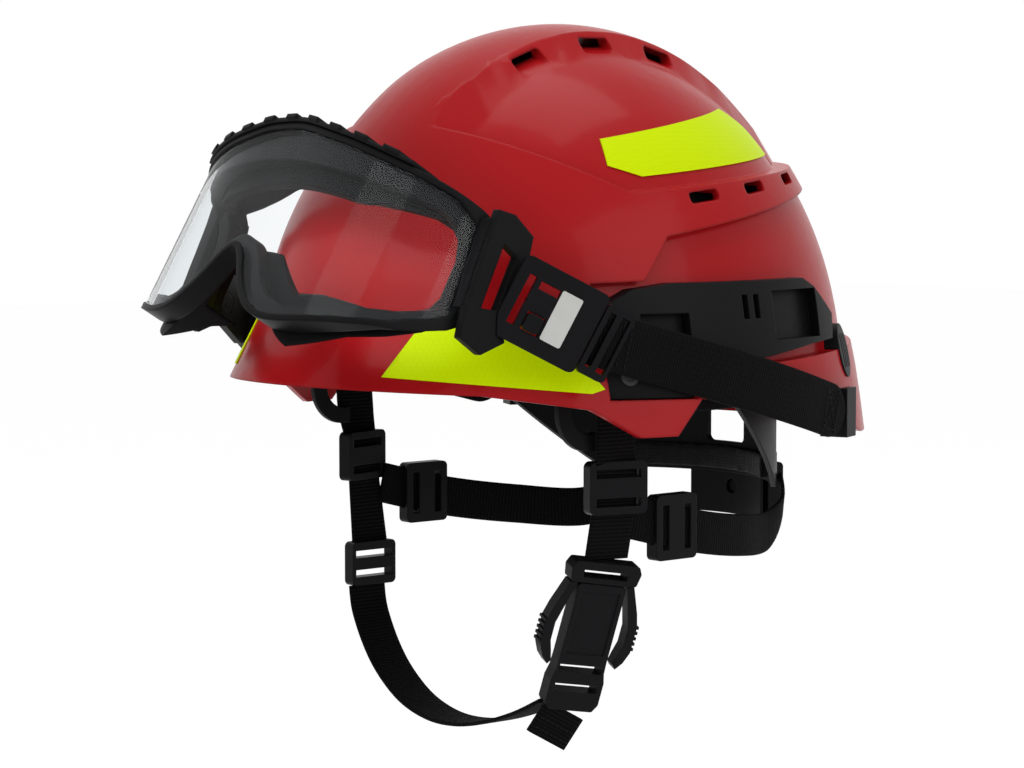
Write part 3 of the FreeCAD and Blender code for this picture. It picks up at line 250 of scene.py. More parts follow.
@dataclass(frozen=True)
class Finish:
    """What a surface is made of. Sub-classes add the pattern that its making leaves."""

    name: str
    slot: str
    colour: str
    roughness: float = 0.5
    ior: float = 1.5
    coat: float = 0.0
    coat_roughness: float = 0.05
    sheen: float = 0.0
    rounding: float = 0.0

    def material(self) -> bpy.types.Material:
        """Returns the material, made on first use."""
        ready = bpy.data.materials.get(self.name)
        return ready if ready else self.build()

    def build(self) -> bpy.types.Material:
        """Makes the shader and lets the sub-class lay its pattern over it.

        Returns:
            The finished material.
        """
        material = bpy.data.materials.new(self.name)
        material.use_nodes = True
        tree = material.node_tree
        tree.nodes.clear()
        shader = add_node(tree, "ShaderNodeBsdfPrincipled", {
            "Base Color": srgb(self.colour), "Roughness": self.roughness, "IOR": self.ior,
            "Coat Weight": self.coat, "Coat Roughness": self.coat_roughness, "Sheen Weight": self.sheen})
        add_node(tree, "ShaderNodeOutputMaterial", {"Surface": shader.outputs["BSDF"]})
        self.pattern(tree, shader)
        return material

    def place(self, tree: bpy.types.NodeTree, pitch: float) -> bpy.types.NodeSocket:
        """Object coordinates scaled so that one unit is one pitch.

        Args:
            tree: the material's tree.
            pitch: the pattern's real spacing in millimetres.

        Returns:
            The coordinate socket.
        """
        at = add_node(tree, "ShaderNodeTexCoord")
        scale = 1 / (pitch * MM)
        return add_node(tree, "ShaderNodeMapping", {"Vector": at.outputs["Object"], "Scale": (scale,) * 3}).outputs[0]

    def noise(self, tree: bpy.types.NodeTree, pitch: float, detail: float,
              roughness: float = 0.5) -> bpy.types.NodeSocket:
        """Noise with a real spacing.

        Args:
            tree: the material's tree.
            pitch: the spacing of its largest waves in millimetres.
            detail: how many finer waves are added.
            roughness: how strong the finer waves are.

        Returns:
            The value socket.
        """
        return add_node(tree, "ShaderNodeTexNoise", {"Vector": self.place(tree, pitch), "Scale": 1.0,
                                                     "Detail": detail, "Roughness": roughness}).outputs[0]

    def edges(self, tree: bpy.types.NodeTree) -> Dict[str, bpy.types.NodeSocket]:
        """The normal of a moulding whose corners are rounded, or nothing where they are sharp.

        Args:
            tree: the material's tree.

        Returns:
            An input for a Bump node.
        """
        if not self.rounding:
            return {}
        bevel = add_node(tree, "ShaderNodeBevel", {"Radius": self.rounding * MM}, samples=6)
        return {"Normal": bevel.outputs[0]}

    def relief(self, tree: bpy.types.NodeTree, shader: bpy.types.Node, height: bpy.types.NodeSocket,
               depth: float, strength: float = 1.0) -> None:
        """Turns a height into a bump of a real depth.

        Args:
            tree: the material's tree.
            shader: the shader that gets the normal.
            height: the pattern, from 0 to 1.
            depth: how deep it is, in millimetres.
            strength: how much of it shows.
        """
        bump = add_node(tree, "ShaderNodeBump", {"Height": height, "Distance": depth * MM, "Strength": strength,
                                                 **self.edges(tree)})
        tree.links.new(bump.outputs[0], shader.inputs["Normal"])

    def tinted(self, tree: bpy.types.NodeTree, shader: bpy.types.Node, amount: bpy.types.NodeSocket,
               low: str, high: str) -> None:
        """Runs the base colour between two tones.

        Args:
            tree: the material's tree.
            shader: the shader that gets the colour.
            amount: 0 for the low tone and 1 for the high one.
            low: a hex colour.
            high: a hex colour.
        """
        mix = add_node(tree, "ShaderNodeMix", {"Factor": amount}, data_type="RGBA")
        for key, code in (("A", low), ("B", high)):
            [s for s in mix.inputs if s.name == key and s.type == "RGBA"][0].default_value = srgb(code)
        colour = [s for s in mix.outputs if s.type == "RGBA"][0]
        tree.links.new(colour, shader.inputs["Base Color"])

    def roughened(self, tree: bpy.types.NodeTree, shader: bpy.types.Node, amount: bpy.types.NodeSocket,
                  low: float, high: float) -> None:
        """Runs the roughness between two values.

        Args:
            tree: the material's tree.
            shader: the shader that gets it.
            amount: the pattern, from 0 to 1.
            low: roughness at 0.
            high: roughness at 1.
        """
        spread = add_node(tree, "ShaderNodeMapRange", {"Value": amount, "To Min": low, "To Max": high})
        tree.links.new(spread.outputs[0], shader.inputs["Roughness"])

    def pattern(self, tree: bpy.types.NodeTree, shader: bpy.types.Node) -> None:
        """Sub-classes override this with the surface's own relief and colour."""
        raise NotImplementedError


@dataclass(frozen=True)
class LacqueredAbs(Finish):
    """Injection-moulded ABS under a clear lacquer: deep colour, faint orange peel, soft broad highlights."""

    low: str = "#AA1419"
    high: str = "#B2161B"
    peel: float = 3.2

    def pattern(self, tree: bpy.types.NodeTree, shader: bpy.types.Node) -> None:
        """Orange peel of a few millimetres, and pigment that clouds slightly over centimetres."""
        peel = self.noise(tree, self.peel, 2.0, 0.4)
        self.relief(tree, shader, peel, 0.02, 0.25)
        self.tinted(tree, shader, self.noise(tree, 38, 3.0), self.low, self.high)
        self.roughened(tree, shader, peel, self.roughness - 0.04, self.roughness + 0.05)


@dataclass(frozen=True)
class EtchedPlastic(Finish):
    """Injection-moulded plastic from a spark-eroded tool: an even fine grain, a little shinier on its corners."""

    low: str = "#161617"
    high: str = "#1F1F21"
    grain: float = 0.7
    depth: float = 0.05

    def pattern(self, tree: bpy.types.NodeTree, shader: bpy.types.Node) -> None:
        """A grain of well under a millimetre, drawn slightly coarse, and handling marks over centimetres."""
        marks = self.noise(tree, 14, 4.0, 0.7)
        self.relief(tree, shader, self.noise(tree, self.grain, 3.0, 0.6), self.depth)
        self.tinted(tree, shader, marks, self.low, self.high)
        self.roughened(tree, shader, marks, self.roughness - 0.07, self.roughness + 0.08)


@dataclass(frozen=True)
class WovenWebbing(Finish):
    """Narrow polyamide webbing: close weft ribs across it, warp lines along it, a dull fuzz, and painted shade in the
    hollows of the weave.
    """

    low: str = "#060506"
    high: str = "#181617"
    rib: float = 1.5
    line: float = 1.15

    def wave(self, tree: bpy.types.NodeTree, along: bpy.types.NodeSocket, pitch: float) -> bpy.types.NodeSocket:
        """A sine from 0 to 1 with a pitch in millimetres.

        Args:
            tree: the material's tree.
            along: the coordinate in metres.
            pitch: the spacing of its crests.

        Returns:
            The value socket.
        """
        turn = add_node(tree, "ShaderNodeMath", {0: along, 1: 2 * math.pi / (pitch * MM)}, operation="MULTIPLY")
        sine = add_node(tree, "ShaderNodeMath", {0: turn.outputs[0]}, operation="SINE")
        return add_node(tree, "ShaderNodeMath", {0: sine.outputs[0], 1: 0.5, 2: 0.5},
                        operation="MULTIPLY_ADD").outputs[0]

    def pattern(self, tree: bpy.types.NodeTree, shader: bpy.types.Node) -> None:
        """Thread spacing is drawn a little coarse so that single ribs show. The UV map runs in metres."""
        at = add_node(tree, "ShaderNodeTexCoord")
        parts = add_node(tree, "ShaderNodeSeparateXYZ", {0: at.outputs["UV"]})
        ribs = self.wave(tree, parts.outputs[0], self.rib)
        lines = self.wave(tree, parts.outputs[1], self.line)
        cross = add_node(tree, "ShaderNodeMath", {0: ribs, 1: lines}, operation="MULTIPLY")
        height = add_node(tree, "ShaderNodeMath", {0: cross.outputs[0], 1: 0.55, 2: ribs}, operation="MULTIPLY_ADD")
        fuzz = self.noise(tree, 4, 5.0, 0.7)
        # Painted shade: the colour follows the weave's height, darker in the hollows between ribs and lighter on their
        # crests, times a random fuzz tone.
        tone = add_node(tree, "ShaderNodeMath", {0: height.outputs[0], 1: fuzz}, operation="MULTIPLY")
        self.relief(tree, shader, height.outputs[0], 0.16)
        self.tinted(tree, shader, tone.outputs[0], self.low, self.high)
        self.roughened(tree, shader, fuzz, self.roughness - 0.1, self.roughness + 0.12)


@dataclass(frozen=True)
class BeadedFoam(Finish):
    """Expanded polystyrene with a black skin: small closed beads pressed flat against the tool."""

    bead: float = 3.0

    def pattern(self, tree: bpy.types.NodeTree, shader: bpy.types.Node) -> None:
        """Beads of about 3 mm meet in fine creases, and the colour is darkened along the creases as painted shade."""
        cell = add_node(tree, "ShaderNodeTexVoronoi", {"Vector": self.place(tree, self.bead), "Scale": 1.0},
                        feature="DISTANCE_TO_EDGE")
        dome = add_node(tree, "ShaderNodeMapRange", {"Value": cell.outputs[0], "From Max": 0.25})
        self.relief(tree, shader, dome.outputs[0], 0.25, 0.7)
        # Painted shade: the colour darkens towards #0A0A0B along the creases between the beads.
        self.tinted(tree, shader, dome.outputs[0], "#0A0A0B", self.colour)
        self.roughened(tree, shader, dome.outputs[0], self.roughness + 0.1, self.roughness)


@dataclass(frozen=True)
class KnittedCover(Finish):
    """Knitted polyester over foam: rows of small loops that drink the light."""

    loop: float = 1.3

    def pattern(self, tree: bpy.types.NodeTree, shader: bpy.types.Node) -> None:
        """Loops just over a millimetre wide, with the odd lighter fibre."""
        cell = add_node(tree, "ShaderNodeTexVoronoi", {"Vector": self.place(tree, self.loop), "Scale": 1.0,
                                                       "Randomness": 0.35})
        fibre = self.noise(tree, 6, 4.0)
        self.relief(tree, shader, cell.outputs["Distance"], 0.3)
        self.tinted(tree, shader, fibre, "#0D0D0E", self.colour)
        self.roughened(tree, shader, fibre, self.roughness - 0.05, self.roughness + 0.1)


@dataclass(frozen=True)
class PrismaticFilm(Finish):
    """Fluorescent retroreflective film: a bright lime skin over a honeycomb of sealed cells."""

    cell: float = 1.6
    # Strength of the painted glow that the film emits.
    glow: float = 0.2

    def pattern(self, tree: bpy.types.NodeTree, shader: bpy.types.Node) -> None:
        """Cells under the smooth skin, barely darker along their walls. A faint emission in the film's own colour is a
        painted glow.
        """
        cell = add_node(tree, "ShaderNodeTexVoronoi", {"Vector": self.place(tree, self.cell), "Scale": 1.0,
                                                       "Randomness": 0.1}, feature="DISTANCE_TO_EDGE")
        wall = add_node(tree, "ShaderNodeMapRange", {"Value": cell.outputs[0], "From Max": 0.08})
        self.relief(tree, shader, wall.outputs[0], 0.01, 0.15)
        self.tinted(tree, shader, wall.outputs[0], "#BEDA00", self.colour)
        self.roughened(tree, shader, wall.outputs[0], self.roughness + 0.06, self.roughness)
        # Painted glow: the film emits a little light of its own, though it is no lamp.
        shader.inputs["Emission Color"].default_value = srgb(self.colour)
        shader.inputs["Emission Strength"].default_value = self.glow


@dataclass(frozen=True)
class ClearPolycarbonate(Finish):
    """Injection-moulded clear polycarbonate with a hard coat: almost no colour, tight reflections."""

    def pattern(self, tree: bpy.types.NodeTree, shader: bpy.types.Node) -> None:
        """A breath of tint over some centimetres. Light that casts shadows passes straight through."""
        self.tinted(tree, shader, self.noise(tree, 45, 1.0), "#EEF2F4", self.colour)
        shader.inputs["Transmission Weight"].default_value = 1.0
        rays = add_node(tree, "ShaderNodeLightPath")
        clear = add_node(tree, "ShaderNodeBsdfTransparent", {"Color": srgb("#F2F4F4")})
        output = [n for n in tree.nodes if n.type == "OUTPUT_MATERIAL"][0]
        mix = add_node(tree, "ShaderNodeMixShader", {0: rays.outputs["Is Shadow Ray"], 1: shader.outputs[0],
                                                     2: clear.outputs[0]})
        tree.links.new(mix.outputs[0], output.inputs["Surface"])


# ABS under clear lacquer: deep red, broad soft highlights.
SHELL_RED = LacqueredAbs("abs_lacquered_red", "shell_red", "#AE151A", 0.3, 1.16, coat=0.1, coat_roughness=0.1,
                         rounding=1.6)
# Glass-filled polyamide from an etched tool: near black, satin.
RAIL_BLACK = EtchedPlastic("polyamide_moulded_black", "plastic_black", "#121213", 0.42, 1.16, low="#0F0F10",
                           high="#161618", rounding=0.7)
# Acetal: a little smoother and shinier than the polyamide.
BUCKLE_BLACK = EtchedPlastic("acetal_moulded_black", "plastic_black", "#121214", 0.36, 1.16, low="#101011",
                             high="#17171A", grain=0.6, depth=0.03, rounding=0.6)
# Thermoplastic elastomer frame: soft touch, so its highlights are wide.
GOGGLE_BLACK = EtchedPlastic("thermoplastic_elastomer_black", "goggle_black", "#121214", 0.44, 1.16, low="#101011",
                             high="#161618", grain=0.9, depth=0.04, rounding=1.4)
# Silicone rubber: dull and even.
SEAL_BLACK = EtchedPlastic("silicone_rubber_black", "seal_rubber", "#0F0F10", 0.55, 1.16, low="#0D0D0E",
                           high="#131315", grain=1.2, depth=0.05, rounding=1.4)
# Expanded polystyrene with a black skin.
LINER_BLACK = BeadedFoam("expanded_polystyrene_black", "foam_black", "#161618", 0.8, 1.3)
# Knitted polyester over foam.
PAD_BLACK = KnittedCover("polyester_knit_black", "pad_black", "#18181A", 0.85, 1.3, sheen=0.1)
# Polyamide webbing: matt, with ribs that catch a little light and painted shade between them.
WEB_BLACK = WovenWebbing("polyamide_webbing_black", "webbing_black", "#0D0B0C", 0.8, 1.15)
# Knitted elastic: finer ribs across and lines along it.
ELASTIC_BLACK = WovenWebbing("knitted_elastic_black", "webbing_black", "#0D0B0C", 0.76, 1.15, rib=1.2, line=2.1)
# Bonded polyester thread: a little lighter than the webbing it sews.
THREAD_BLACK = WovenWebbing("bonded_polyester_thread_black", "webbing_black", "#171617", 0.6, 1.2, low="#131213",
                            high="#1E1C1E", rib=0.5, line=0.5)
# Hard-coated polycarbonate: clear, with tight reflections off its coat.
LENS_CLEAR = ClearPolycarbonate("polycarbonate_hard_coated_clear", "lens_clear", "#FAFCFC", 0.0, 1.03, coat=0.22,
                                coat_roughness=0.03)
# Fluorescent film: flat lime with a faint sheen and a painted glow.
MARKER_LIME = PrismaticFilm("retroreflective_film_lime", "marker_yellow", "#C6E000", 0.42, 1.15)
# Vinyl label: pale, satin and bare.
LABEL_PALE = EtchedPlastic("vinyl_label_pale", "label_pale", "#CFCFCC", 0.45, 1.35, low="#C9C9C5", high="#D5D5D2",
                           grain=1.5, depth=0.02)
# Phosphated steel: dark grey and slightly grainy.
SCREW_DARK = EtchedPlastic("phosphated_steel_dark", "screw_dark", "#2C2C2E", 0.4, 1.4, low="#252527",
                           high="#353538", grain=0.5, depth=0.03, rounding=0.3)


# ---------------------------------------------------------------- how a CAD node is dressed

@dataclass
class Kit:
    """The loaded frame and the few ways in which its nodes get their looks."""

    frame: Dict[str, Any]
    crease: float = math.radians(32)

    def body_of(self, node: str) -> str:
        """The body that a node rides on."""
        return self.frame["nodes"][node]["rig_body"]

    def weld(self, finish: Finish, *nodes: str) -> None:
        """Stands a smooth copy in for each node.

        Args:
            finish: what they are made of.
            nodes: their names.
        """
        for node in nodes:
            piece = self.merged(node)
            even_normals(piece, 80)
            self.seat(piece, finish, node)

    def merged(self, node: str) -> bpy.types.Object:
        """Copies a node's loose triangles into one closed mesh, smooth but for its corners.

        Args:
            node: the node's name.

        Returns:
            The copy, on no body yet.
        """
        source = self.frame["nodes"][node].data
        work = bmesh.new()
        for vertex in source.vertices:
            work.verts.new(vertex.co)
        work.verts.ensure_lookup_table()
        for face in source.polygons:
            try:
                work.faces.new([work.verts[i] for i in face.vertices])
            except ValueError:
                continue
        bmesh.ops.remove_doubles(work, verts=work.verts, dist=0.004 * MM)
        mark_corners(work, self.crease)
        mesh = bpy.data.meshes.new(node + "_skin")
        work.to_mesh(mesh)
        work.free()
        return linked(node + "_skin", mesh)

    def seat(self, piece: bpy.types.Object, finish: Finish, *nodes: str, body: Optional[str] = None) -> None:
        """Puts a piece on its body in place of nodes.

        Args:
            piece: the object.
            finish: its finish.
            nodes: the nodes that it stands for.
            body: the body that it rides on, taken from the first node where none is given.
        """
        paint(piece, finish.material())
        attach(piece, body or self.body_of(nodes[0]))
        if nodes:
            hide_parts(*nodes)
        log.info("%s: %d faces, %s", piece.name, len(piece.data.polygons), finish.name)

    def sew(self, stitches: bpy.types.Object, node: str) -> None:
        """Lets stitches ride with the webbing that they hold.

        Args:
            stitches: the thread's mesh, already in its material.
            node: the webbing's node.
        """
        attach(stitches, self.body_of(node))
        log.info("%s: %d faces of thread", stitches.name, len(stitches.data.polygons))


# ---------------------------------------------------------------- webbing

@dataclass
class Strap:
    """Flat webbing along stations of a point, the way across and the way it faces."""

    name: str
    stations: List[Station]
    wide: float
    thick: float
    ripple: float = 0.0
    rounded: bool = False
    step: float = 2.2 * MM
    ripple_pitch: float = 17 * MM
    end_rows: int = 8
    end_turn: float = 8.15

    def build(self) -> bpy.types.Object:
        """Sweeps a rounded flat section along the stations, with a UV map in metres.

        Returns:
            The strap's object.
        """
        points = through([s[0] for s in self.stations], self.step)
        acrosses = self.along([s[1].normalized() for s in self.stations])
        facings = self.along([s[2].normalized() for s in self.stations])
        shares = [1.0] * len(points)
        if self.rounded:
            run_out = (points[-1] - points[-2]).normalized()
            root = points[-1]
            for k in range(1, self.end_rows + 1):
                turn = math.pi / 2 * k / self.end_turn
                points.append(root + run_out * self.wide / 2 * math.sin(turn))
                acrosses.append(acrosses[-1])
                facings.append(facings[-1])
                shares.append(math.cos(turn))
        section = self.section()
        vertices, faces, uvs = [], [], []
        run = [0.0]
        for before, after in zip(points, points[1:]):
            run.append(run[-1] + (after - before).length)
        for i, point in enumerate(points):
            facing, across = facings[i].normalized(), acrosses[i].normalized()
            lift = self.ripple * math.sin(run[i] / self.ripple_pitch) * math.sin(math.pi * i / (len(points) - 1))
            for x, z, _ in section:
                vertices.append(point + across * x * shares[i] + facing * (z + lift * (0.4 + 20 * abs(x))))
        count = len(section)
        for i in range(len(points) - 1):
            for j in range(count):
                k = (j + 1) % count
                faces.append((i * count + j, (i + 1) * count + j, (i + 1) * count + k, i * count + k))
                low, high = section[j][2], section[k][2] if k else section[-1][2] + 0.5 * self.thick
                uvs += [(run[i], low), (run[i + 1], low), (run[i + 1], high), (run[i], high)]
        for i, turn in ((0, 1), (len(points) - 1, -1)):
            ring = [i * count + j for j in range(count)][::turn]
            faces.append(tuple(ring))
            uvs += [(run[i], section[j % count][2]) for j in range(count)][::turn]
        piece = new_piece(self.name, vertices, faces)
        layer = piece.data.uv_layers.new(name="webbing")
        for loop, uv in zip(layer.data, uvs):
            loop.uv = uv
        with editing(piece.data) as work:
            bmesh.ops.recalc_face_normals(work, faces=work.faces)
        return piece

    def along(self, values: Sequence[Vector]) -> List[Vector]:
        """Spreads a direction of the stations over the fine points.

        Args:
            values: one direction for each station.

        Returns:
            One direction for each fine point.
        """
        found: List[Vector] = []
        for i in range(len(values) - 1):
            gap = (self.stations[i + 1][0] - self.stations[i][0]).length
            count = max(1, round(gap / self.step))
            found += [values[i].lerp(values[i + 1], j / count) for j in range(count)]
        return found + [values[-1]]

    def section(self) -> List[Tuple[float, float, float]]:
        """The woven section: flat faces and thinner rounded selvedges.

        Returns:
            Places across and through it, and the distance round it.
        """
        half, deep = self.wide / 2, self.thick / 2
        shares = (-1, -0.985, -0.94, -0.8, -0.5, 0, 0.5, 0.8, 0.94, 0.985)
        fat = [0.0 if abs(x) == 1 else (0.62 if abs(x) > 0.97 else (0.88 if abs(x) > 0.9 else 1.0)) for x in shares]
        top = [(x * half, f * deep) for x, f in zip(shares, fat)]
        low = [(-x, -z) for x, z in top]
        ring = top + low
        found, gone = [], 0.0
        for i, (x, z) in enumerate(ring):
            if i:
                gone += math.dist(ring[i - 1], (x, z))
            found.append((x, z, gone))
        return found


def stitch_tree() -> bpy.types.NodeTree:
    """Geometry nodes that lay stitches along a drawn line.

    Returns:
        The node group, with inputs for the stitch's pitch, length, thickness and thread.
    """
    ready = bpy.data.node_groups.get("stitch_row")
    if ready:
        return ready
    tree = bpy.data.node_groups.new("stitch_row", "GeometryNodeTree")
    tree.interface.new_socket("Line", in_out="INPUT", socket_type="NodeSocketGeometry")
    for name in ("Pitch", "Length", "Thickness"):
        tree.interface.new_socket(name, in_out="INPUT", socket_type="NodeSocketFloat")
    tree.interface.new_socket("Thread", in_out="INPUT", socket_type="NodeSocketMaterial")
    tree.interface.new_socket("Stitches", in_out="OUTPUT", socket_type="NodeSocketGeometry")
    start = add_node(tree, "NodeGroupInput")
    curve = add_node(tree, "GeometryNodeMeshToCurve", {"Mesh": start.outputs["Line"]})
    spots = add_node(tree, "GeometryNodeCurveToPoints", {"Curve": curve.outputs[0],
                                                         "Length": start.outputs["Pitch"]}, mode="LENGTH")
    thread = add_node(tree, "GeometryNodeMeshCylinder", {"Vertices": 6, "Radius": start.outputs["Thickness"],
                                                         "Depth": start.outputs["Length"]})
    turn = add_node(tree, "FunctionNodeAlignRotationToVector", {"Vector": spots.outputs["Tangent"]}, axis="Z")
    laid = add_node(tree, "GeometryNodeInstanceOnPoints", {"Points": spots.outputs[0],
                                                           "Instance": thread.outputs[0],
                                                           "Rotation": turn.outputs[0]})
    real = add_node(tree, "GeometryNodeRealizeInstances", {"Geometry": laid.outputs[0]})
    dressed = add_node(tree, "GeometryNodeSetMaterial", {"Geometry": real.outputs[0],
                                                         "Material": start.outputs["Thread"]})
    add_node(tree, "NodeGroupOutput", {"Stitches": dressed.outputs[0]})
    return tree


def grown_from(tree: bpy.types.NodeTree, name: str, points: Sequence[Vector], edges: Sequence[Tuple[int, int]],
               values: Dict[str, Any]) -> bpy.types.Object:
    """Runs a node group on drawn lines and keeps its result as a plain mesh.

    Args:
        tree: the node group.
        name: the new piece's name.
        points: the lines' points in metres.
        edges: the lines.
        values: the group's inputs by name.

    Returns:
        The piece, with no modifier left on it.
    """
    mesh = bpy.data.meshes.new(name + "_lines")
    mesh.from_pydata([tuple(p) for p in points], list(edges), [])
    source = linked(name + "_lines", mesh)
    modifier = source.modifiers.new("grow", "NODES")
    modifier.node_group = tree
    for item in tree.interface.items_tree:
        if item.item_type == "SOCKET" and item.in_out == "INPUT" and item.name in values:
            modifier[item.identifier] = values[item.name]
    result = evaluated(source)
    result.name = name
    source.modifiers.clear()
    bpy.data.objects.remove(source)
    return linked(name, result)


@dataclass
class BarTack:
    """A sewn box with a cross that joins two layers of webbing."""

    name: str
    centre: Vector
    along: Vector
    across: Vector
    facing: Vector
    long: float = 12 * MM
    wide: float = 13 * MM
    crossed: bool = True
    pitch: float = 2.2 * MM
    stitch: float = 1.6 * MM
    thread: float = 0.26 * MM
    proud: float = 0.1 * MM

    def lines(self) -> Tuple[List[Vector], List[Tuple[int, int]]]:
        """The box and its cross as points and edges, just proud of the webbing."""
        a, c = self.along.normalized() * self.long / 2, self.across.normalized() * self.wide / 2
        at = self.centre + self.facing.normalized() * self.proud
        points = [at - a - c, at + a - c, at + a + c, at - a + c, at - a - c, at + a + c, at + a - c, at - a + c]
        if not self.crossed:
            return points[:4], [(1, 2), (3, 0)]
        return points, [(0, 1), (1, 2), (2, 3), (3, 4), (5, 4), (6, 7)]

    def build(self) -> bpy.types.Object:
        """Sews the tack.

        Returns:
            The stitches' object.
        """
        points, edges = self.lines()
        return grown_from(stitch_tree(), self.name, points, edges, {
            "Pitch": self.pitch, "Length": self.stitch, "Thickness": self.thread, "Thread": THREAD_BLACK.material()})


# ---------------------------------------------------------------- the shell and what is fixed to it

@dataclass
class Shell:
    """The red shell with its rails, clips, screws and reflective markers."""

    kit: Kit
    brow_end: float = 43 * MM
    brow_slant: float = 0.25
    clip_shift: Tuple[float, float, float] = (-0.8 * MM, -3.5 * MM, 0.0)

    def rear_clip(self, side: str) -> None:
        """Lets the clip sit a little deeper and further forward, where it lies flush with the lip.

        Args:
            side: left or right.
        """
        sign = 1 if side == "left" else -1
        clip = self.kit.merged("rear_clip_" + side)
        clip.data.transform(Matrix.Translation((sign * self.clip_shift[0], *self.clip_shift[1:])))
        even_normals(clip)
        self.kit.seat(clip, RAIL_BLACK, "rear_clip_" + side)

    def brow_marker(self, side: str) -> None:
        """Cuts the brow film's front end at a slant, well short of the middle.

        Args:
            side: left or right.
        """
        sign = 1 if side == "left" else -1
        film = self.kit.merged("brow_marker_" + side)
        with editing(film.data) as work:
            cut = bmesh.ops.bisect_plane(work, geom=work.verts[:] + work.edges[:] + work.faces[:], dist=1e-6,
                                         plane_co=(sign * self.brow_end, 0, 0), clear_outer=True,
                                         plane_no=Vector((-sign, 0, self.brow_slant)).normalized())
            edges = [e for e in cut["geom_cut"] if isinstance(e, bmesh.types.BMEdge)]
            bmesh.ops.contextual_create(work, geom=edges)
        self.kit.seat(film, MARKER_LIME, "brow_marker_" + side)

    def build(self) -> None:
        """Dresses the shell's nodes."""
        self.kit.weld(SHELL_RED, "outer_shell")
        for side in SIDES:
            self.kit.weld(RAIL_BLACK, "side_rail_" + side)
            self.rear_clip(side)
            self.kit.weld(MARKER_LIME, "crown_marker_" + side)
            self.brow_marker(side)
        self.kit.weld(SCREW_DARK, "rail_screws")


@dataclass
class Pad:
    """A thin foam pad in a knitted cover, puffed up by a short cloth simulation."""

    kit: Kit
    node: str
    voxel: float = 2.4 * MM
    tuck: float = 0.7 * MM
    cap: float = 1.1 * MM
    pressure: float = 4.0
    frames: int = 20

    def even(self) -> bpy.types.Object:
        """Remeshes the node's copy into even small faces, a little inside its surface.

        Returns:
            The pad before it swells.
        """
        rough = self.kit.merged(self.node)
        grid = rough.modifiers.new("even faces", "REMESH")
        grid.mode, grid.voxel_size = "VOXEL", self.voxel
        mesh = evaluated(rough)
        bpy.data.objects.remove(rough)
        pad = linked(self.node + "_cover", mesh)
        for vertex, normal in [(v, v.normal.copy()) for v in mesh.vertices]:
            vertex.co -= normal * self.tuck
        mesh.polygons.foreach_set("use_smooth", [True] * len(mesh.polygons))
        return pad

    def swell(self, pad: bpy.types.Object) -> None:
        """Blows the cover up against its own stiffness, then keeps the result.

        Args:
            pad: the remeshed pad.
        """
        scene = bpy.context.scene
        cloth = pad.modifiers.new("cover", "CLOTH")
        cloth.settings.use_pressure = True
        cloth.settings.uniform_pressure_force = self.pressure
        cloth.settings.effector_weights.gravity = 0.0
        cloth.settings.quality = 4
        cloth.point_cache.frame_start, cloth.point_cache.frame_end = 1, self.frames
        for frame in range(1, self.frames + 1):
            scene.frame_set(frame)
        ready = pad.evaluated_get(bpy.context.evaluated_depsgraph_get())
        moved = [v.co.copy() for v in ready.data.vertices]
        pad.modifiers.remove(cloth)
        scene.frame_set(1)
        for vertex, place in zip(pad.data.vertices, moved):
            shift = place - vertex.co
            vertex.co += shift * min(1.0, self.cap / max(shift.length, 1e-9))

    def build(self) -> None:
        """Makes the pad and puts it in its node's place."""
        pad = self.even()
        self.swell(pad)
        soft = pad.modifiers.new("soft", "SUBSURF")
        soft.levels = soft.render_levels = 1
        self.kit.seat(pad, PAD_BLACK, self.node)


@dataclass
class Interior:
    """The foam liner, the headband with its cradle and pads, and the ratchet at the nape."""

    kit: Kit

    def build(self) -> None:
        """Dresses the inside from the crown down to the nape."""
        self.kit.weld(LINER_BLACK, "impact_liner")
        self.kit.weld(RAIL_BLACK, "headband", "nape_cradle", "nape_housing", "ratchet_knob")
        for side in SIDES:
            self.kit.weld(RAIL_BLACK, "side_hanger_" + side, "nape_band_" + side)
        for node in ("crown_pad", "brow_pad", "nape_pad"):
            Pad(self.kit, node).build()


# ---------------------------------------------------------------- the chin harness

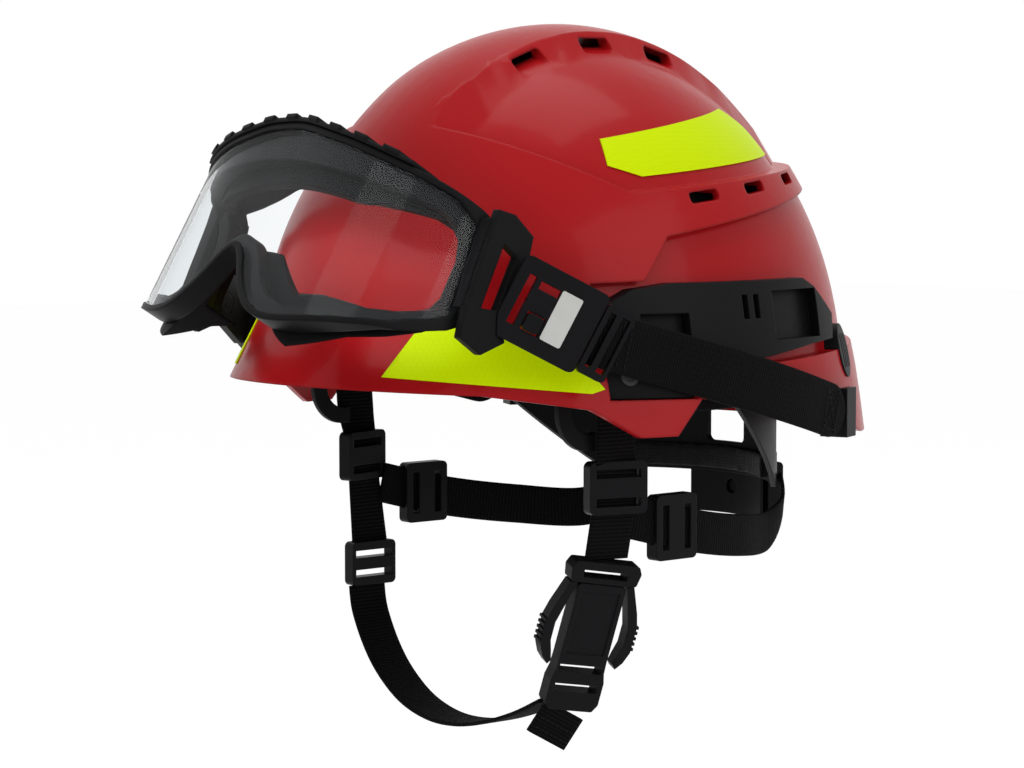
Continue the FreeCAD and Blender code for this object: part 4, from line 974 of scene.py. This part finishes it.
@dataclass
class Harness:
    """Webbing from the shell to the chin, its sliders and adjusters, and the side-release buckle."""

    kit: Kit
    ear: Vector = field(default_factory=lambda: Vector((78, -38, -32)) * MM)
    hang: Vector = field(default_factory=lambda: Vector((80.1, -41, 11)) * MM)
    cheek: float = math.radians(15)
    wide: float = 18 * MM
    thick: float = 1.6 * MM
    lock_drop: float = 44 * MM
    chin_low: float = 130 * MM
    head: Tuple[float, float] = (77.9 * MM, 97.5 * MM)
    cradle_low: float = -42 * MM
    nape_turn: float = math.radians(36)
    buckle_long: float = 40 * MM
    buckle_thick: float = 6.5 * MM

    def mirror(self, stations: List[Station], side: float) -> List[Station]:
        """Stations for the left as they are, or turned to the right.

        Args:
            stations: the left side's.
            side: 1 for left and -1 for right.

        Returns:
            The stations for that side.
        """
        def flip(v: Vector) -> Vector:
            """Mirrors one vector in the middle plane."""
            return Vector((v.x * side, v.y, v.z))
        return [(flip(p), flip(a), flip(f)) for p, a, f in stations]

    def facing(self) -> Tuple[Vector, Vector]:
        """The way out of the cheek and the way across it, on the left."""
        out = Vector((math.cos(self.cheek), -math.sin(self.cheek), 0))
        return out, Vector((-out.y, out.x, 0))

    def front_stations(self) -> List[Station]:
        """The strap from the hanger down into the slider at the ear."""
        out, across = self.facing()
        side_out, side_across = Vector((1, 0, 0)), Vector((0, 1, 0))
        bend = Vector((self.hang.x, self.hang.y + 1 * MM, -12 * MM))
        return [(self.hang, side_across, side_out), (bend, side_across, side_out),
                (self.ear + Vector((0, 0, 3 * MM)), across, out)]

    def buckle_frame(self) -> Tuple[Vector, Vector, Vector, Vector]:
        """The buckle's top, its way down, its way across and its way out."""
        out, _ = self.facing()
        top = self.ear + Vector((-5, -1, -30)) * MM
        down = (self.ear + Vector((-20, -5, -80)) * MM - top).normalized()
        face = (out - down * out.dot(down)).normalized()
        return top, down, (-down).cross(face), face

    def lower_stations(self, side: float) -> List[Station]:
        """The short run below the slider, to the buckle on the left or the ladder lock on the right."""
        out, across = self.facing()
        start = self.ear + Vector((0, 0, -3 * MM))
        if side > 0:
            end = self.buckle_frame()[0] + Vector((0.6, 0.2, 2.6)) * MM
            return [(start, across, out), (end, across, out)]
        end = self.lock() + Vector((0, 0, 5.4 * MM))
        return [(start, across, out), (end, Vector((0, 1, 0)), Vector((1, 0, 0)))]

    def lock(self) -> Vector:
        """The ladder lock's middle, mirrored to the left."""
        return Vector((self.ear.x - 5 * MM, self.ear.y, self.ear.z - self.lock_drop))

    def rear_stations(self) -> List[Station]:
        """The strap from the ear back to the nape cradle."""
        out = Vector((math.sin(self.nape_turn) / self.head[0], math.cos(self.nape_turn) / self.head[1], 0)).normalized()
        end = Vector((self.head[0] * math.sin(self.nape_turn), self.head[1] * math.cos(self.nape_turn), 0))
        end += out * (self.thick / 2 + 0.4 * MM)
        ear = self.ear
        path = [ear + Vector((-1.5, 9, -12)) * MM, ear + Vector((-2, 42, -20)) * MM, ear + Vector((-9, 74, -25)) * MM,
                ear + Vector((-23, 102, -27)) * MM,
                end + out * 1.2 * MM + Vector((1.5 * MM, -2 * MM, self.cradle_low - 9 * MM)),
                end + Vector((0, 0, self.cradle_low + 4 * MM))]
        found = []
        for i, here in enumerate(path):
            run = (path[min(i + 1, 5)] - path[max(i - 1, 0)]).normalized()
            flat = Vector((run.y, -run.x, 0)).normalized() if i < 4 else out
            if i == 3:
                flat = (flat + out).normalized()
            found.append((here, run.cross(flat), flat))
        return found

    def chin_stations(self) -> List[Station]:
        """The loop under the chin, from the ladder lock round to the tongue."""
        half = self.lock().x - 1.5 * MM
        shares = ((-1.0, -0.652), (-0.955, -0.73), (-0.80, -0.83), (-0.62, -0.905), (-0.39, -0.966), (-0.13, -0.997),
                  (0.12, -0.995), (0.35, -0.968), (0.56, -0.927), (0.735, -0.878))
        path = [Vector((half * x, self.ear.y - (3 + 9 * (1 - x * x)) * MM, self.chin_low * z)) for x, z in shares]
        found = []
        for i, here in enumerate(path):
            run = (path[min(i + 1, len(path) - 1)] - path[max(i - 1, 0)]).normalized()
            found.append((here, Vector((0, 1, 0)), run.cross(Vector((0, 1, 0)))))
        return found

    def tail_stations(self) -> List[Station]:
        """The doubled free end below the tongue."""
        top, down, across, _ = self.buckle_frame()
        root = top + down * (self.buckle_long + 15.5 * MM)
        run = (down + Vector((0, -0.42, 0))).normalized()
        out = across.cross(run).normalized()
        out = -out if out.x < 0 else out
        across = run.cross(out).normalized()
        lift = out * (self.buckle_thick / 2 + self.thick)
        return [(root + lift * 0.2 + run * 3.4 * MM, across, out), (root + run * 17 * MM, across, out)]

    def build(self) -> None:
        """Sews and fits the whole harness."""
        for side, name in ((1, "left"), (-1, "right")):
            front = Strap("front_webbing_" + name, self.mirror(self.front_stations(), side), self.wide, self.thick)
            self.kit.seat(front.build(), WEB_BLACK, "front_strap_" + name)
            rear = Strap("rear_webbing_" + name, self.mirror(self.rear_stations(), side), self.wide - 1.5 * MM,
                         self.thick, 0.5 * MM)
            self.kit.seat(rear.build(), WEB_BLACK, "rear_strap_" + name)
            lower = Strap("lower_webbing_" + name, self.mirror(self.lower_stations(side), side), self.wide, self.thick)
            self.kit.seat(lower.build(), WEB_BLACK, "lower_strap_" + name)
            self.kit.weld(BUCKLE_BLACK, "ear_slider_" + name, "rear_adjuster_" + name)
        self.kit.weld(BUCKLE_BLACK, "chin_lock", "buckle_socket", "buckle_arm_front", "buckle_arm_back",
                      "buckle_tongue")
        chin = Strap("chin_webbing", self.chin_stations(), self.wide, self.thick)
        loop = chin.build()
        paint(loop, WEB_BLACK.material())
        self.kit.body_of("chin_lock")
        self.kit.body_of("chin_strap")
        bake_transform(loop)
        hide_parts("chin_strap")
        tail = Strap("tail_webbing", self.tail_stations(), self.wide, 2 * self.thick)
        self.kit.seat(tail.build(), WEB_BLACK, "strap_tail")
        (_, across, out), (tip, _, _) = self.tail_stations()
        along = (tip - self.tail_stations()[0][0]).normalized()
        tack = BarTack("tail_tack", tip - along * 5 * MM + out * self.thick, along, across, out, 4 * MM, 14 * MM,
                       False)
        self.kit.sew(tack.build(), "strap_tail")


# ---------------------------------------------------------------- the goggles

class Cut(Enum):
    """What a tool does to the piece that it meets."""

    AWAY = "DIFFERENCE"
    COMMON = "INTERSECT"
    JOINED = "UNION"


@dataclass
class Goggles:
    """The goggle frame with its lens and seal, its arms, strap plates, elastic and hooks."""

    kit: Kit
    start: Vector = field(default_factory=lambda: Vector((103.2, -73.36, 27.29)) * MM)
    end: Tuple[float, float] = (47.5 * MM, -6.0 * MM)
    wide: float = 21 * MM
    thick: float = 1.8 * MM
    skirt: Tuple[Tuple[float, ...], ...] = ((21.84, 105.6, 128.8, 126.0), (4.2, 108.8, 140.0, 130.2),
                                            (-35.7, 113.6, 151.2, 137.2))
    home: Vector = field(default_factory=lambda: Vector((0, -151, 67)) * MM)
    tilt: float = math.radians(31)
    half: float = 86 * MM
    wrap: float = 75 * MM
    tall: float = 90 * MM
    temple: Tuple[Tuple[float, float], ...] = (
        (-0.004, 0.004), (-0.018, 0.019), (-0.034, 0.022), (-0.060, 0.018), (-0.060, -0.010), (-0.034, -0.019),
        (-0.016, -0.020))
    skirt_inset: float = 13.5 * MM
    plan_steps: int = 48
    plan_power: float = 2 / 2.7
    sight: Tuple[float, float, float] = (82 * MM, 37.5 * MM, 32 * MM)
    eye_line: Tuple[Tuple[float, float], ...] = (
        (0, 0.82), (0.14, 0.81), (0.27, 0.785), (0.45, 0.74), (0.63, 0.70), (0.80, 0.67), (0.93, 0.58), (1.02, 0.34),
        (1.03, -0.05), (1.00, -0.34), (0.93, -0.55), (0.84, -0.67), (0.74, -0.77), (0.62, -0.86), (0.50, -0.94),
        (0.39, -0.95), (0.29, -0.87), (0.205, -0.72), (0.135, -0.50), (0.07, -0.26), (0, -0.12))

    def skirt_side(self, y: float, z: float) -> Tuple[float, Vector]:
        """Half width of the flared skirt at a place along the side, and the way that it faces.

        Args:
            y: the place fore and aft.
            z: its height.

        Returns:
            The distance from the middle plane, and a flat unit vector.
        """
        rows = [[v * MM for v in row] for row in self.skirt]
        z = min(max(z, rows[2][0]), rows[0][0])
        upper, lower = (rows[0], rows[1]) if z > rows[1][0] else (rows[1], rows[2])
        part = (z - lower[0]) / (upper[0] - lower[0])
        half, front, back = (lower[i] + part * (upper[i] - lower[i]) for i in (1, 2, 3))
        reach = back if y > 0 else front
        x = half * math.sqrt(1 - (y / reach) ** 2)
        return x, Vector((x / half ** 2, y / reach ** 2, 0)).normalized()

    def elastic_stations(self, side: float) -> List[Station]:
        """The elastic from its ladder loop back over the skirt to its hook.

        Args:
            side: 1 for left and -1 for right.

        Returns:
            Its stations.
        """
        count, spots = 9, []
        for i in range(count):
            part = i / (count - 1)
            y = self.start.y + part * (self.end[0] - self.start.y)
            z = self.start.z + part * (self.end[1] - self.start.z)
            x, facing = self.skirt_side(y, z - 0.3 * self.wide)
            off = self.thick / 2 + 0.9 * MM
            blend = max(0.0, 1 - part * 2.6)
            x += off / facing.x + blend ** 2 * (self.start.x - self.skirt_side(self.start.y, self.start.z)[0] - off)
            spots.append(Vector((x, y, z)))
        found = []
        for i, here in enumerate(spots):
            run = (spots[min(i + 1, count - 1)] - spots[max(i - 1, 0)]).normalized()
            facing = Vector((run.y, -run.x, 0)).normalized()
            across = run.cross(facing)
            found.append(tuple(Vector((v.x * side, v.y, v.z)) for v in (here, across, facing)))
        return found

    def at(self, x: float, up: float, ahead: float) -> Vector:
        """A point of the leaning goggles: across, up the lens and ahead of it."""
        tilt = self.tilt
        return self.home + Vector((x, up * math.sin(tilt) - ahead * math.cos(tilt),
                                   up * math.cos(tilt) + ahead * math.sin(tilt)))

    def prism(self, name: str, outline: Sequence[Vector], along: Vector) -> bpy.types.Object:
        """A closed outline swept straight.

        Args:
            name: the object's name.
            outline: its corners.
            along: the sweep.

        Returns:
            The closed solid.
        """
        count = len(outline)
        faces: List[Tuple[int, ...]] = [tuple(range(count)), tuple(range(2 * count - 1, count - 1, -1))]
        faces += [(i, (i + 1) % count, count + (i + 1) % count, count + i) for i in range(count)]
        piece = new_piece(name, list(outline) + [p + along for p in outline], faces, smooth=False)
        with editing(piece.data) as work:
            bmesh.ops.recalc_face_normals(work, faces=work.faces)
        return piece

    def carve(self, piece: bpy.types.Object, tool: bpy.types.Object, how: Cut) -> None:
        """Cuts, meets or joins a piece with a tool, and drops the tool.

        Args:
            piece: the piece that keeps the result.
            tool: the other solid.
            how: what the tool does.
        """
        step = piece.modifiers.new("carve", "BOOLEAN")
        step.operation, step.object, step.solver = how.value, tool, "EXACT"
        mesh = evaluated(piece)
        piece.modifiers.clear()
        piece.data = mesh
        bpy.data.objects.remove(tool)

    def face_seal(self) -> None:
        """Hollows the soft seal to a thin skirt, so that one sees far into the goggles."""
        seal = self.kit.merged("goggle_seal")
        a, d = self.half - self.skirt_inset, self.wrap - self.skirt_inset
        plan = []
        for step in range(self.plan_steps + 1):
            turn = math.pi * step / self.plan_steps
            x = a * math.copysign(abs(math.cos(turn)) ** self.plan_power, math.cos(turn))
            plan.append(self.at(x, -self.tall, -self.wrap + d * max(math.sin(turn), 0.0) ** self.plan_power))
        plan = [self.at(a, -self.tall, -2 * self.wrap)] + plan + [self.at(-a, -self.tall, -2 * self.wrap)]
        core = self.prism("seal_core", plan, self.at(0, 2 * self.tall, 0) - self.at(0, 0, 0))
        right = [(x * self.sight[0], z * (self.sight[1] if z > 0 else self.sight[2])) for x, z in self.eye_line]
        front = [self.at(x, z, -2 * self.wrap) for x, z in right + [(-x, z) for x, z in reversed(right[1:-1])]]
        self.carve(core, self.prism("seal_sight", front, self.at(0, 0, 4 * self.wrap) - self.at(0, 0, 0)),
                   Cut.COMMON)
        side = [self.at(-2 * self.half, up, ahead) for ahead, up in self.temple]
        self.carve(core, self.prism("seal_temple", side, Vector((4 * self.half, 0, 0))), Cut.JOINED)
        self.carve(seal, core, Cut.AWAY)
        with editing(seal.data) as work:
            mark_corners(work, self.kit.crease)
        even_normals(seal)
        self.kit.seat(seal, SEAL_BLACK, "goggle_seal")

    def build(self) -> None:
        """Dresses the goggles from the frame back to the hooks."""
        self.kit.weld(GOGGLE_BLACK, "goggle_frame", "goggle_vent_cover")
        self.face_seal()
        self.kit.weld(LENS_CLEAR, "goggle_lens")
        for side in SIDES:
            self.kit.weld(GOGGLE_BLACK, "goggle_arm_" + side)
            self.kit.weld(BUCKLE_BLACK, "strap_plate_" + side, "strap_button_" + side, "strap_loop_" + side,
                          "strap_hook_" + side)
            stations = self.elastic_stations(1 if side == "left" else -1)
            band = Strap("goggle_elastic_" + side, stations, self.wide, self.thick, 0.0, True)
            self.kit.seat(band.build(), ELASTIC_BLACK, "goggle_strap_" + side)
            for at, long in ((1, 4 * MM), (8, 8 * MM)):
                place, across, facing = stations[at]
                along = (stations[at][0] - stations[at - 1][0]).normalized()
                tack = BarTack("elastic_tack_%d_%s" % (at, side), place + facing * self.thick / 2, along, across,
                               facing, long, 0.7 * self.wide, at > 1)
                self.kit.sew(tack.build(), "goggle_strap_" + side)
        self.kit.weld(LABEL_PALE, "plate_label")


# ---------------------------------------------------------------- the studio

@dataclass
class Studio:
    """A pale floor, soft lamps and the camera."""

    azimuth: float = math.radians(50)
    elevation: float = math.radians(4.5)
    distance: float = 1.2
    aim: Tuple[float, float, float] = (-0.0113, -0.0135, 0.0)
    lens: float = 105.5
    floor: float = -0.32
    room: float = 0.30
    reach: float = 6.0
    whiteness: float = 0.85
    glow: float = 1.12

    def camera(self) -> None:
        """Sets the camera a little above the rim, to the wearer's left of the face."""
        data = bpy.data.cameras.new("camera")
        data.lens, data.sensor_width = self.lens, 36.0
        data.clip_start, data.clip_end = 0.05, 50
        camera = linked("camera", data)
        flat = math.cos(self.elevation)
        back = Vector((math.sin(self.azimuth) * flat, -math.cos(self.azimuth) * flat, math.sin(self.elevation)))
        camera.location = Vector(self.aim) + back * self.distance
        camera.rotation_euler = (-back).to_track_quat("-Z", "Y").to_euler()
        bpy.context.scene.camera = camera

    def lamp(self, name: str, place: Sequence[float], size: Sequence[float], power: float,
             glossy: bool = True) -> None:
        """Adds one soft area lamp that faces the helmet.

        Args:
            name: its name.
            place: where it stands, in metres.
            size: its width and height.
            power: its power in watts.
            glossy: whether gloss mirrors its panel.
        """
        data = bpy.data.lights.new(name, "AREA")
        data.shape, data.size, data.size_y = "RECTANGLE", size[0], size[1]
        data.energy = power
        lamp = linked(name, data)
        lamp.location = place
        lamp.visible_glossy = glossy
        lamp.rotation_euler = (-Vector(place)).to_track_quat("-Z", "Y").to_euler()

    def seen(self, tree: bpy.types.NodeTree) -> bpy.types.NodeSocket:
        """1 for the rays that show the background: straight from the camera, off gloss or through glass.

        Args:
            tree: the tree that gets the nodes.

        Returns:
            The value socket.
        """
        rays = add_node(tree, "ShaderNodeLightPath")
        through_glass = add_node(tree, "ShaderNodeMath", {0: rays.outputs["Is Camera Ray"],
                                                          1: rays.outputs["Is Transmission Ray"]},
                                 operation="MAXIMUM")
        return add_node(tree, "ShaderNodeMath", {0: through_glass.outputs[0], 1: rays.outputs["Is Glossy Ray"]},
                        operation="MAXIMUM").outputs[0]

    def backdrop(self) -> None:
        """Lays the floor, which looks white to the camera and keeps a soft shadow."""
        half = self.reach
        floor = new_piece("floor", [(-half, -half, self.floor), (half, -half, self.floor), (half, half, self.floor),
                                    (-half, half, self.floor)], [(0, 1, 2, 3)], smooth=False)
        material = bpy.data.materials.new("studio_floor_pale")
        material.use_nodes = True
        tree = material.node_tree
        tree.nodes.clear()
        share = add_node(tree, "ShaderNodeMath", {0: self.seen(tree), 1: self.whiteness}, operation="MULTIPLY")
        plain = add_node(tree, "ShaderNodeBsdfDiffuse", {"Color": srgb("#E6E6E4")})
        white = add_node(tree, "ShaderNodeEmission", {"Color": srgb("#FFFFFF"), "Strength": self.glow})
        mix = add_node(tree, "ShaderNodeMixShader", {0: share.outputs[0], 1: plain.outputs[0], 2: white.outputs[0]})
        add_node(tree, "ShaderNodeOutputMaterial", {"Surface": mix.outputs[0]})
        paint(floor, material)

    def sky(self) -> None:
        """A soft grey room that the camera, gloss and glass see as white."""
        world = bpy.data.worlds.new("studio_room")
        bpy.context.scene.world = world
        world.use_nodes = True
        tree = world.node_tree
        tree.nodes.clear()
        level = add_node(tree, "ShaderNodeMapRange", {"Value": self.seen(tree), "To Min": self.room, "To Max": 1.0})
        room = add_node(tree, "ShaderNodeBackground", {"Color": srgb("#FFFFFF"), "Strength": level.outputs[0]})
        add_node(tree, "ShaderNodeOutputWorld", {"Surface": room.outputs[0]})

    def build(self) -> None:
        """Sets up the camera, the room, the floor and the lamps."""
        bpy.context.scene.view_settings.view_transform = "Standard"
        self.camera()
        self.sky()
        self.backdrop()
        self.lamp("key", (0.2, -1.5, 1.3), (1.2, 1.0), 9, glossy=False)
        self.lamp("fill", (1.6, 0.3, 0.7), (1.2, 1.2), 7)
        self.lamp("top", (-0.1, 0.25, 1.8), (1.4, 1.0), 12)
        self.lamp("low", (0.9, -1.1, -0.15), (0.8, 0.4), 2.5, glossy=False)


def main(frame: Dict[str, Any]) -> None:
    """Builds every sub-assembly in order.

    Args:
        frame: the loaded frame.
    """
    logging.basicConfig(level=logging.INFO, format="%(message)s")
    kit = Kit(frame)
    for part in (Shell(kit), Interior(kit), Harness(kit), Goggles(kit), Studio()):
        part.build()


if __name__ == "__main__":
    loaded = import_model()
    main(loaded)
